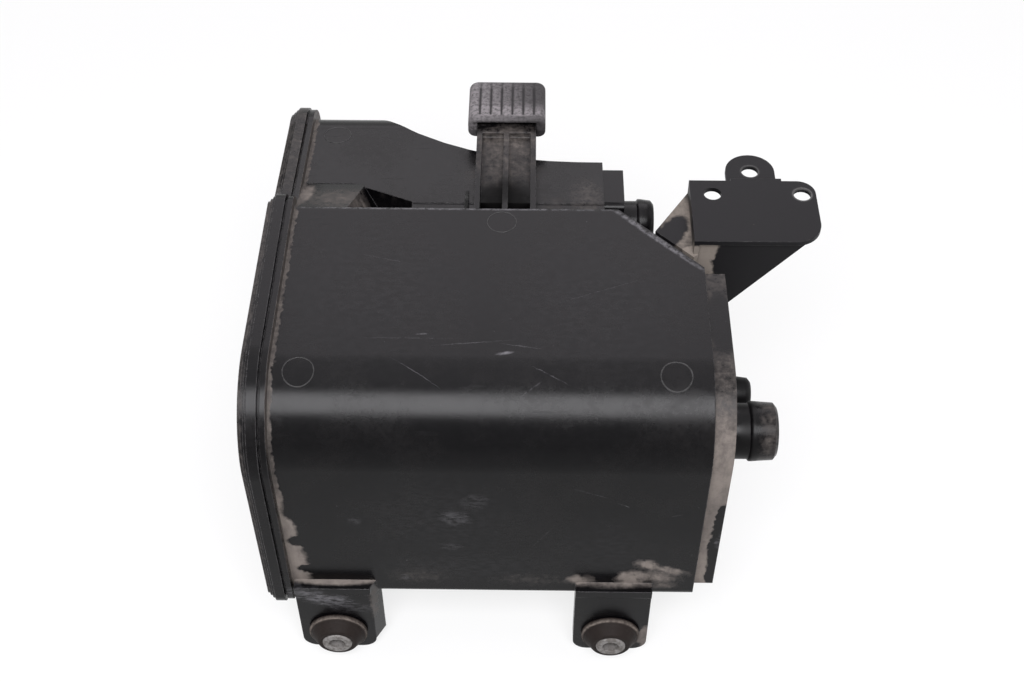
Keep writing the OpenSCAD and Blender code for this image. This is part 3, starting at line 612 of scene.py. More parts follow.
@dataclass(frozen=True)
class RubberFinish:
    """Black rubber; a number kept on its points says where dust lies on it, and on the boot it also carries
    painted light and shade.
    """

    name: str
    dark: Colour
    dust: Colour
    specular: float
    rough: float = 0.62
    grain: Pattern = Pattern(0.6, 5.0, 0.7)
    grit: Pattern = Pattern(3.0, 2.0, 0.6)

    def make(self) -> Material:
        """Builds the material.

        Returns:
            The material.
        """
        graph = NodeGraph(self.name)
        grain, grit = graph.noise(self.grain), graph.noise(self.grit)
        lying = graph.times(graph.attribute("dust"), graph.smooth(grain, 0.3, 0.62, 0.2, 1.0))
        colour = graph.mix(lying, self.dark, self.dust)
        rough = graph.scaled(lying, 0.25, self.rough)
        height = graph.plus(grit, graph.times(grain, 0.6))
        return graph.dress(colour, rough, graph.bump(height, 0.12), specular=self.specular)


@dataclass(frozen=True)
class SteelFinish:
    """Bare or plated steel with dull stains."""

    name: str
    bright: Colour
    stain: Colour
    rough: float
    metallic: float = 1.0
    edge_radius: float = 0.25
    stains: Pattern = Pattern(0.45, 5.0, 0.7)
    grit: Pattern = Pattern(3.5, 2.0, 0.6)

    def make(self) -> Material:
        """Builds the material.

        Returns:
            The material.
        """
        graph = NodeGraph(self.name)
        normal, edge = graph.edges(self.edge_radius)
        stains = graph.smooth(graph.noise(self.stains), 0.36, 0.64)
        stained = graph.join(Blend.MINUS, stains, graph.times(edge, 0.6))
        colour = graph.mix(graph.smooth(stained, 0.0, 1.0), self.bright, self.stain)
        rough = graph.scaled(stains, 0.25, self.rough)
        return graph.dress(colour, rough, graph.bump(graph.noise(self.grit), 0.02, normal), self.metallic)


@dataclass(frozen=True)
class PaintFinish:
    """Thin black coating on steel, with dust patches and edges rubbed to bare metal."""

    name: str
    dusty: Tuple[Patch, ...]
    clean: Tuple[Patch, ...]
    rubbed: Tuple[Patch, ...]
    coat: Colour = (0.0062, 0.0059, 0.0067)
    bare: Colour = (0.42, 0.41, 0.4)
    dust: Colour = (0.16, 0.14, 0.122)
    rough: float = 0.42
    specular: float = 0.1
    edge_radius: float = 0.35
    grain: Pattern = Pattern(0.5, 5.0, 0.7)
    peel: Pattern = Pattern(0.9, 2.0, 0.5)

    def make(self) -> Material:
        """Builds the material.

        Returns:
            The material.
        """
        graph = NodeGraph(self.name)
        normal, edge = graph.edges(self.edge_radius)
        near = graph.ragged(0.3, 1.6)
        grain, peel = graph.noise(self.grain), graph.noise(self.peel)
        worn = graph.times(edge, graph.smooth(grain, 0.5, 0.68, 0.03, 0.2))
        worn = graph.most(worn, graph.blobs(self.rubbed, graph.place))
        thick = graph.join(Blend.MINUS, graph.blobs(self.dusty, near), graph.blobs(self.clean, near))
        dust = graph.lying(thick, grain)
        specks = graph.times(graph.specks(0.16, 0.05, 0.2), 0.6)
        colour = graph.mix(worn, self.coat, self.bare)
        colour = graph.mix(graph.most(dust, specks), colour, self.dust)
        rough = graph.scaled(dust, 0.4, self.rough)
        raised = graph.bump(graph.plus(graph.times(peel, 0.5), dust), 0.05, normal)
        return graph.dress(colour, rough, raised, graph.times(worn, 0.9), self.specular)


@dataclass(frozen=True)
class GrainFinish:
    """Loose or fibrous filling with a coarse surface."""

    name: str
    low: Colour
    high: Colour
    scale: float
    depth: float
    rough: float = 0.9
    specular: float = 0.2

    def make(self) -> Material:
        """Builds the material.

        Returns:
            The material.
        """
        graph = NodeGraph(self.name)
        lumps = graph.noise(Pattern(self.scale, 3.0, 0.6))
        colour = graph.mix(graph.smooth(lumps, 0.35, 0.68), self.low, self.high)
        return graph.dress(colour, self.rough, graph.bump(lumps, self.depth), specular=self.specular)


def grid_faces(rows: int, columns: int, wrap_rows: bool, wrap_columns: bool) -> np.ndarray:
    """Four-sided faces of a grid of points that are numbered row by row.

    Args:
        rows: number of rows.
        columns: number of points in a row.
        wrap_rows: joins the last row to the first.
        wrap_columns: joins the last column to the first.

    Returns:
        Array of faces by 4 point numbers.
    """
    row = np.arange(rows if wrap_rows else rows - 1)[:, None]
    column = np.arange(columns if wrap_columns else columns - 1)[None, :]
    row_next, column_next = (row + 1) % rows, (column + 1) % columns
    corners = (row * columns + column, row * columns + column_next,
               row_next * columns + column_next, row_next * columns + column)
    return np.stack([np.broadcast_to(c, (row.size, column.size)) for c in corners], -1).reshape(-1, 4)


def circle(count: int) -> np.ndarray:
    """Angles of points spread evenly round a circle."""
    return np.linspace(0, 2 * np.pi, count, endpoint=False)


def shade(mesh: bpy.types.Mesh, flat_angle: float) -> None:
    """Shades a mesh smooth, with sharp edges where it turns much.

    Args:
        mesh: the mesh.
        flat_angle: turn past which an edge is sharp, in degrees.
    """
    mesh.polygons.foreach_set("use_smooth", np.ones(len(mesh.polygons), bool))
    mesh.set_sharp_from_angle(angle=math.radians(flat_angle))
    mesh.update()


def show(mesh: bpy.types.Mesh) -> Piece:
    """Puts a mesh into the scene.

    Args:
        mesh: the mesh.

    Returns:
        Its object, of the same name, at the origin.
    """
    piece = bpy.data.objects.new(mesh.name, mesh)
    bpy.context.scene.collection.objects.link(piece)
    return piece


def new_piece(name: str, points: np.ndarray, faces: np.ndarray, dust: Union[np.ndarray, None] = None,
              flat_angle: float = 40.0) -> Piece:
    """Makes a smooth-shaded mesh object from a grid.

    Args:
        name: name of the piece.
        points: N by 3 body points in millimetres.
        faces: faces by 4 point numbers.
        dust: number from 0 to 1 for each point, kept as the attribute that the rubber finish reads.
        flat_angle: edges that turn more than this, in degrees, are shaded sharp.

    Returns:
        The object, at the origin, with its place in its mesh.
    """
    mesh = bpy.data.meshes.new(name)
    mesh.from_pydata(to_part(points).tolist(), [], faces.tolist())
    if dust is not None:
        mesh.attributes.new("dust", "FLOAT", "POINT").data.foreach_set("value", dust.astype(np.float32))
    work = bmesh.new()
    work.from_mesh(mesh)
    bmesh.ops.remove_doubles(work, verts=work.verts, dist=MERGE)
    bmesh.ops.recalc_face_normals(work, faces=work.faces)
    work.to_mesh(mesh)
    work.free()
    shade(mesh, flat_angle)
    return show(mesh)


def finish_piece(piece: Piece, material: Material) -> None:
    """Gives a piece its material and the one body that it rides on.

    Args:
        piece: the piece.
        material: its finish.
    """
    piece.data.materials.clear()
    piece.data.materials.append(material)
    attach(piece, "root")
    LOG.info("%s: %d faces, %s", piece.name, len(piece.data.polygons), material.name)


def read(items: bpy.types.bpy_prop_collection, name: str, width: int = 1, kind: type = float) -> np.ndarray:
    """Reads one property of all items of a mesh.

    Args:
        items: its faces, corners or points.
        name: name of the property.
        width: how many numbers an item has.
        kind: type of the numbers.

    Returns:
        Array of the items' numbers, or of items by width.
    """
    values = np.empty(len(items) * width, kind)
    items.foreach_get(name, values)
    return values.reshape(-1, width) if width > 1 else values


def rounded_loop(corners: np.ndarray, radii: np.ndarray, steps: int) -> np.ndarray:
    """Rounds the corners of a closed outline.

    Each corner P becomes the curve (1-t)^2 A + 2t(1-t) P + t^2 B, where A and B lie on its two sides at the
    corner's radius, or at just under half a side where that is shorter.

    Args:
        corners: N by 2 corner points.
        radii: N distances from each corner at which its curve starts.
        steps: points on each curve.

    Returns:
        N times steps by 2 points.
    """
    before = np.roll(corners, 1, 0) - corners
    after = np.roll(corners, -1, 0) - corners
    length_before, length_after = np.linalg.norm(before, axis=1), np.linalg.norm(after, axis=1)
    reach = np.minimum(radii, np.minimum(length_before, length_after) * 0.49)[:, None]
    start = corners + before / length_before[:, None] * reach
    end = corners + after / length_after[:, None] * reach
    t = np.linspace(0, 1, steps)[None, :, None]
    curve = (1 - t) ** 2 * start[:, None] + 2 * t * (1 - t) * corners[:, None] + t ** 2 * end[:, None]
    return curve.reshape(-1, 2)


def bump_at(value: np.ndarray, centre: Union[float, np.ndarray], width: float) -> np.ndarray:
    """Bell curve exp(-((value - centre) / width)^2)."""
    return np.exp(-((value - centre) / width) ** 2)


@dataclass(frozen=True)
class CurvedBack:
    """Plan curve of the rear chamber's back, from its start to its end along X."""

    start: float = 25.0
    end: float = 124.0
    back: float = 183.5
    depth: float = 37.0
    bend: float = 2.6

    def at(self, x: np.ndarray) -> Tuple[np.ndarray, np.ndarray]:
        """Finds y = back - depth (1 - u^bend), where u falls from one at the start to nothing at the end.

        Args:
            x: places along the body.

        Returns:
            The curve's y at each place, and its normals, along (depth bend u^(bend - 1) / length, 1, 0).
        """
        length = self.end - self.start
        left = 1 - np.clip((x - self.start) / length, 0, 1)
        slope = self.depth * self.bend * left ** (self.bend - 1) / length
        out = np.column_stack([slope, np.ones_like(x), np.zeros_like(x)])
        return self.back - self.depth * (1 - left ** self.bend), out / np.linalg.norm(out, axis=1)[:, None]


@dataclass
class CadShell:
    """A rigid CAD node that is shown through a merged copy of its mesh.

    Each roll is the Y and Z of an axis along X, round which the node's strips are shaded as one smooth curve.
    A node without rolls has its edges softened instead.
    """

    node: str
    piece: str
    slot: str
    flat_angle: float = 28.0
    edge_radius: float = 0.0
    edge_steps: int = 2
    rolls: Tuple[Pair, ...] = ()
    curved: Union[CurvedBack, None] = None
    flat_area: float = 60.0
    join_angle: float = 0.6
    roll_slack: float = 0.05
    curve_slack: float = 0.4
    agree: float = 0.97

    def true_normals(self, mesh: bpy.types.Mesh) -> None:
        """Points normals of large flat faces straight out, and those of rolled strips away from their axis.

        A strip is a face whose corners all lie at one distance from the axis and that faces away from it or
        towards it; its corner at (y, z) gets the normal (0, y - y0, z - z0) over that distance, or its
        opposite. A face whose corners all lie on the curved back gets that curve's normals.

        Args:
            mesh: the merged copy.
        """
        start, total = (read(mesh.polygons, name, kind=int) for name in ("loop_start", "loop_total"))
        out = np.repeat(read(mesh.polygons, "normal", 3), total, 0)
        corners = read(mesh.loops, "vertex_index", kind=int)
        spots = read(mesh.vertices, "co", 3)[corners] / MM - np.array(SHIFT)
        flat = np.repeat(read(mesh.polygons, "area") > self.flat_area * MM ** 2, total)[:, None]
        bend = np.where(flat, out, read(mesh.corner_normals, "vector", 3))

        def whole(fits: np.ndarray) -> np.ndarray:
            """Finds the faces all of whose corners fit."""
            return np.minimum.reduceat(fits.astype(int), start) > 0

        for roll in self.rolls:
            away = spots[:, 1:] - np.array(roll)
            reach = np.maximum(np.linalg.norm(away, axis=1), TINY)
            even = np.maximum.reduceat(reach, start) - np.minimum.reduceat(reach, start) < self.roll_slack
            radial = np.column_stack([np.zeros(len(reach)), away / reach[:, None]])
            along = (radial * out).sum(1)
            strip = np.repeat(even & whole(np.abs(along) > self.agree), total)[:, None]
            bend = np.where(strip, radial * np.sign(along)[:, None], bend)
        if self.curved is not None:
            depth, radial = self.curved.at(spots[:, 0])
            fits = (np.abs(spots[:, 1] - depth) < self.curve_slack) & ((radial * out).sum(1) > self.agree)
            bend = np.where(np.repeat(whole(fits), total)[:, None], radial, bend)
        mesh.normals_split_custom_set(bend.tolist())

    def soften(self, piece: Piece) -> None:
        """Rounds the edges of a piece and keeps its flat faces flat in the shading.

        Args:
            piece: the piece.
        """
        bevel = piece.modifiers.new("soft_edges", "BEVEL")
        bevel.width = self.edge_radius * MM
        bevel.segments = self.edge_steps
        bevel.limit_method = "ANGLE"
        bevel.angle_limit = math.radians(self.flat_angle)
        bevel.use_clamp_overlap = True
        bevel.harden_normals = False
        weighted = piece.modifiers.new("flat_faces", "WEIGHTED_NORMAL")
        weighted.keep_sharp = True
        weighted.weight = 100

    def build(self, material: Material) -> None:
        """Merges a copy of the node, joins its flat faces and dresses it; it stands for the node.

        Args:
            material: its finish.
        """
        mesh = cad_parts[self.node].data.copy()
        mesh.name = self.piece
        work = bmesh.new()
        work.from_mesh(mesh)
        bmesh.ops.remove_doubles(work, verts=work.verts, dist=MERGE)
        bmesh.ops.dissolve_limit(work, angle_limit=math.radians(self.join_angle), verts=work.verts,
                                 edges=work.edges)
        work.to_mesh(mesh)
        work.free()
        shade(mesh, self.flat_angle)
        piece = show(mesh)
        if self.rolls:
            self.true_normals(mesh)
        else:
            self.soften(piece)
        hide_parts(self.node)
        finish_piece(piece, material)


@dataclass
class Moulding:
    """The moulded housing and its welded lid, with the round marks that the mould left on the top."""

    roll_r: float = 30.0
    roof_start: float = 108.0
    roof_drop: float = 8.0
    roof_slope: float = 5.0
    rolls: Tuple[Pair, ...] = ((30.0, -30.0), (169.5, -27.26))
    mark_r: float = 5.6
    mark_w: float = 0.55
    mark_h: float = 0.16
    mark_sink: float = 0.1
    mark_sides: int = 72
    mark_steps: int = 10
    marks: Tuple[Pair, ...] = ((12.5, 22.6), (146.6, 22.1), (83.4, 98.6))
    roof_mark: Pair = (12.7, 164.2)
    end_dust: Pair = (160.1, 168.3)
    # where dust lies thickly, and on the saddle beside the lid a painted reflection and highlight
    dusty: Tuple[Patch, ...] = (
        *Face.PANEL_DUST.patches(
            # cloud over the right foot, with its tail to the corner
            (140.5, -88.0, 4.6, 3.4, 1.0, 0.6, 26),
            (136.0, -97.5, 7.0, 5.6, 1.0, 0.5),
            (149.0, -91.0, 8.0, 2.2, 0.9, 0.7, 22),
            (146.0, -96.0, 7.0, 4.6, 0.72, 0.8, 20),
            (148.0, -102.0, 5.0, 2.2, 0.5, 0.8),
            (115.0, -99.0, 5.6, 3.4, 0.9, 0.6),
            # faint dust at the foot of the front panel
            (96.0, -99.0, 14.0, 4.0, 0.2, 0.9),
            (52.0, -97.0, 12.0, 5.0, 0.2, 0.9),
        ),
        # film on the back of the rear chamber and under the top's cut corner
        Patch((72.0, 174.0, -72.0), (95.0, 26.0, 46.0), 0.26, 0.5),
        Patch((150.0, 104.0, -62.0), (20.0, 22.0, 46.0), 0.24, 0.5),
        # right bevel of the left foot, and beside the right rubber mount
        Patch((33.5, -1.0, -112.0), (1.6, 5.0, 12.0), 0.4, 0.4),
        Patch((142.5, -3.6, -135.0), (2.6, 3.0, 8.5), 0.75, 0.25),
        # saddle beside the lid: dust at its left end, painted reflection on its curve, painted highlight on
        # the pocket's edge
        Patch((5.0, 117.0, -11.0), (3.6, 12.0, 9.0), 0.7, 0.4),
        Patch((22.0, 114.0, -9.0), (20.0, 10.0, 9.0), 0.42, 0.6),
        Patch((33.0, 112.0, -9.0), (3.0, 6.0, 6.0), 0.5, 0.5),
        # mouth of the large spigot
        Patch((184.5, 31.0, -43.0), (4.5, 13.0, 13.0), 0.4, 0.7),
        # tongue, and the rear roof to the right of it
        Patch((84.0, 151.0, -6.0), (14.0, 9.0, 6.0), 0.42, 0.8),
        Patch((84.0, 138.0, -7.0), (14.0, 12.0, 7.0), 0.3, 0.8),
        Patch((117.0, 122.0, -10.0), (7.0, 12.0, 6.0), 0.24, 0.8),
        Patch((104.0, 118.0, -10.0), (6.0, 5.0, 6.0), 0.16, 0.8),
    )
    # ledges over the feet on which dust lies in a thin line
    settled: Tuple[Patch, ...] = (
        Patch((19.0, 0.8, -100.5), (18.0, 3.4, 2.0), 1.0, 0.3),
        Patch((128.5, 0.8, -100.5), (18.0, 3.0, 2.0), 0.7, 0.6),
    )
    # painted shade at the tongue's root and in the hollow beside it; a duller, rougher surface round the
    # spigots
    shade_and_dull: Tuple[Patch, ...] = (
        Patch((84.3, 121.0, -8.0), (12.0, 12.0, 6.0), 0.9, 0.5),
        Patch((62.0, 112.0, -12.0), (9.0, 5.0, 7.0), 0.6, 0.6),
        Patch((176.0, 41.0, -46.0), (7.5, 30.0, 18.0), 0.5, 0.2),
    )
    # places in the dust of the stepped end and beside the flange that are wiped or wet
    clean: Tuple[Patch, ...] = (
        Patch((167.5, 3.4, -65.0), (3.2, 5.0, 12.5), 1.0, 0.15),
        Patch((166.6, 3.4, -83.0), (3.0, 5.0, 12.0), 1.0, 0.15),
        Patch((168.0, 3.4, -99.0), (4.0, 5.0, 9.0), 1.0, 0.15),
        Patch((165.0, 50.0, -3.4), (6.0, 14.0, 3.0), 0.35),
        Patch((7.5, 0.0, -74.0), (4.0, 3.0, 3.6), 1.0, 0.2),
        Patch((9.5, 0.0, -93.0), (4.6, 3.0, 2.6), 1.0, 0.2),
        Patch((6.8, 0.0, -54.0), (3.4, 3.0, 7.0), 0.9, 0.3),
    )
    # whitish wiped places
    smeared: Tuple[Patch, ...] = (
        *Face.FOOT.patches((13.0, -108.0, 12.0, 4.6, 1.0, 0.6, 22), (27.0, -116.0, 8.0, 3.0, 0.22, 0.7)),
        *Face.TOP.patches((36.0, 62.0, 34.0, 34.0, 0.04, 0.9), (118.0, 56.0, 30.0, 36.0, 0.04, 0.9)),
        *Face.PANEL.patches(
            (67.4, -58.0, 5.5, 4.0, 0.45, 0.7, 14),
            (75.0, -47.5, 5.0, 4.0, 0.24, 0.8, -30),
            (64.5, -76.5, 5.0, 2.4, 0.2, 0.8),
            (46.6, -98.0, 1.8, 1.6, 0.4, 0.6),
            (62.0, -60.0, 26.0, 22.0, 0.07, 0.9),
            (126.0, -78.0, 20.0, 16.0, 0.06, 0.9),
            (70.0, -90.0, 30.0, 8.0, 0.08, 0.9),
            (30.0, -60.0, 2.2, 2.2, 0.22, 0.7),
        ),
        Patch((167.5, 3.4, -76.0), (1.0, 4.0, 4.0), 0.5, 0.6),
    )
    # scratches and scuffs, and painted highlight lines along two edges, each a long thin patch turned along
    # its line
    scratches_and_highlights: Tuple[Patch, ...] = (
        *Face.TOP.patches(
            # painted highlight: bright lines along the rounded back edge of the top and of its cut corner
            (66.0, 106.5, 70.0, 1.1, 1.0, 0.5),
            (142.3, 90.7, 24.0, 1.0, 0.9, 0.5, -45),
            # scratches of the top
            (55.5, 40.0, 2.2, 0.3, 0.55, 0.6, 4),
            (52.0, 38.0, 15.0, 0.12, 0.3, 0.5),
            (74.0, 36.0, 12.0, 0.16, 0.4, 0.5, 6),
            (92.0, 34.5, 6.0, 0.16, 0.45, 0.5, -9),
            (120.0, 62.0, 16.0, 0.12, 0.24, 0.5, 22),
            (40.0, 78.0, 10.0, 0.12, 0.24, 0.5, -14),
        ),
        *Face.ROLL.patches((54.5, 22.5, 9.5, 0.14, 0.4, 0.5, -33), (101.0, 22.5, 7.0, 0.16, 0.4, 0.5, -28)),
        Patch((85.7, 31.2, -0.1), (2.6, 0.6, 3.0), 1.0, 0.6, (0, 0, 12)),
        Patch((95.0, 17.0, -3.0), (4.0, 0.16, 5.0), 0.45, 0.5, (0, 0, 35)),
        *Face.PANEL.patches(
            (118.0, -41.7, 6.5, 0.12, 0.35, 0.5, 23),
            (129.7, -48.6, 2.2, 0.2, 0.5, 0.5, 30),
            (100.0, -70.0, 0.12, 9.0, 0.2, 0.5, 30),
            (149.0, -55.0, 3.0, 0.14, 0.25, 0.5, -20),
        ),
    )
    # painted sheen on the lid's rounded rear top, and a dust film on its outer face
    lid_dust_and_sheen: Tuple[Patch, ...] = (
        Patch((-3.0, 150.0, -10.0), (7.0, 45.0, 12.0), 0.2, 0.5),
        Patch((-8.0, 92.0, -52.0), (2.6, 140.0, 110.0), 0.3, 0.6),
    )

    def top_height(self, y: np.ndarray) -> np.ndarray:
        """Height of the top at depth y: zero on the flat, -r + sqrt(r^2 - (r - y)^2) on the rolled edge."""
        over = np.clip(self.roll_r - y, 0, self.roll_r)
        return -self.roll_r + np.sqrt(self.roll_r ** 2 - over ** 2)

    def roof_height(self, y: np.ndarray) -> np.ndarray:
        """Height of the rear roof at a depth y, which falls evenly towards the back."""
        return -self.roof_drop - (y - self.roof_start) * math.tan(math.radians(self.roof_slope))

    def ring(self, name: str, centre: Pair, on_roof: bool) -> Piece:
        """Raised ring: a flat ellipse carried round a circle, laid on the surface below it.

        A point at angle a round the circle and b round the ellipse stands at radius R + w/2 cos b and at
        the surface's height there plus h sin b; below the surface the ellipse is a little flatter.

        Args:
            name: name of the piece.
            centre: X and Y of the ring's middle.
            on_roof: lays the ring on the rear roof instead of on the top.

        Returns:
            The ring.
        """
        around, section = circle(self.mark_sides)[:, None], circle(self.mark_steps)[None, :]
        radius = self.mark_r + self.mark_w / 2 * np.cos(section)
        x = centre[0] + radius * np.cos(around)
        y = centre[1] + radius * np.sin(around)
        surface = self.roof_height(y) if on_roof else self.top_height(y)
        z = surface + np.where(np.sin(section) > 0, self.mark_h, self.mark_sink) * np.sin(section)
        faces = grid_faces(self.mark_sides, self.mark_steps, True, True)
        return new_piece(name, np.stack([x, y, z], -1).reshape(-1, 3), faces, flat_angle=80.0)

    def build(self) -> None:
        """Builds and dresses the housing, the lid and the mould marks."""
        plastic = PlasticFinish(
            "housing_plastic", dusty=self.dusty, settled=self.settled, clean=self.clean, shade_and_dull=self.shade_and_dull,
            smeared=self.smeared, scratches_and_highlights=self.scratches_and_highlights, flange_dust=True, end_dust=self.end_dust,
        ).make()
        # the lid's stronger rubbed edges are painted glints along its ridges
        lid_plastic = PlasticFinish("lid_plastic", rough=0.24, edge_wear_and_glint=1.0, dusty=self.lid_dust_and_sheen).make()
        CadShell("housing", "moulded_housing", "housing_plastic", rolls=self.rolls,
                 curved=CurvedBack()).build(plastic)
        CadShell("end_lid", "welded_lid", "lid_plastic", rolls=self.rolls).build(lid_plastic)
        mark_plastic = PlasticFinish("mark_plastic", (0.006, 0.006, 0.006), (0.05, 0.05, 0.05)).make()
        rings = [self.ring(f"mould_mark_{n}", centre, False) for n, centre in enumerate(self.marks, 1)]
        for piece in (*rings, self.ring("roof_mark", self.roof_mark, True)):
            finish_piece(piece, mark_plastic)


@dataclass
class FootMount:
    """One rubber mount with its steel sleeve, turned about the foot's bolt axis."""

    side: str
    x: float
    z: float = -132.0
    face_y: float = -3.6
    plate: float = 6.0
    bore_r: float = 3.25
    sleeve_r: float = 6.0
    sleeve_out: float = 7.0
    sleeve_back: float = 0.4
    rubber_r: float = 11.8
    rear_r: float = 10.8
    waist_r: float = 7.9
    rubber_back: float = 3.0
    clear: float = 0.1
    rim: float = 1.9
    # radius and distance in front of the foot plate, from behind the raised lip to the nose
    nose: Tuple[Pair, ...] = ((10.7, 2.1), (10.4, 3.1), (9.0, 4.6), (7.7, 6.4))
    rubber_rounds: Tuple[float, ...] = (0.3, 0.8, 0.6, 0.3, 0.3, 0.4, 0.6, 0.4, 0.6, 1.5, 0.6, 0.2)
    sleeve_rounds: Tuple[float, ...] = (0.4, 0.7, 0.9, 0.6)
    round_steps: int = 6
    sides: int = 72

    def turned(self, name: str, profile: np.ndarray, dust: Union[np.ndarray, None]) -> Piece:
        """Turns a closed profile about the bolt axis: (r cos a, -d, r sin a) for a profile point (r, d).

        Args:
            name: name of the piece.
            profile: N by 2 points, radius and distance in front of the foot plate.
            dust: dust on each profile point, which fades towards the underside, or none.

        Returns:
            The ring-shaped piece.
        """
        around = circle(self.sides)[:, None]
        radius, out = profile[None, :, 0], profile[None, :, 1]
        x = self.x + radius * np.cos(around)
        z = self.z + radius * np.sin(around)
        y = np.broadcast_to(self.face_y - out, x.shape)
        points = np.stack([x, y, z], -1).reshape(-1, 3)
        upper = np.clip(0.55 + 0.75 * np.sin(around), 0.0, 1.0)
        spread = None if dust is None else np.clip(dust[None, :] * upper, 0, 1).reshape(-1)
        return new_piece(name, points, grid_faces(self.sides, len(profile), True, True), spread)

    def rubber(self) -> Piece:
        """Rubber mount: rear flange, waist, front flange with a raised lip, and a nose round the sleeve.

        Returns:
            The mount, with dust along the rim of its front flange.
        """
        bore = self.sleeve_r + self.clear
        back, behind = -self.plate - self.rubber_back, -self.plate - self.clear
        corners = np.array([
            (bore, back), (self.rear_r, back), (self.rear_r, behind), (self.waist_r, behind),
            (self.waist_r, self.clear), (self.rubber_r, self.clear), (self.rubber_r, self.rim),
            *self.nose, (bore, self.nose[-1][1]),
        ])
        profile = rounded_loop(corners, np.array(self.rubber_rounds), self.round_steps)
        dust = 0.9 * bump_at(profile[:, 0], 11.5, 0.4) * (profile[:, 1] > 0.8) + 0.02
        return self.turned(f"{self.side}_rubber_mount", profile, dust)

    def sleeve(self) -> Piece:
        """Steel sleeve: a tube with rounded ends.

        Returns:
            The sleeve.
        """
        back = -self.plate - self.rubber_back - self.sleeve_back
        corners = np.array([(self.bore_r, back), (self.sleeve_r, back),
                            (self.sleeve_r, self.sleeve_out), (self.bore_r, self.sleeve_out)])
        profile = rounded_loop(corners, np.array(self.sleeve_rounds), self.round_steps)
        return self.turned(f"{self.side}_steel_sleeve", profile, None)

    def build(self, rubber: Material, steel: Material) -> None:
        """Builds both pieces, which stand for their CAD nodes.

        Args:
            rubber: finish of the mount.
            steel: finish of the sleeve.
        """
        mount, tube = self.rubber(), self.sleeve()
        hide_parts(f"{self.side}_foot_grommet")
        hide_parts(f"{self.side}_foot_sleeve")
        finish_piece(mount, rubber)
        finish_piece(tube, steel)


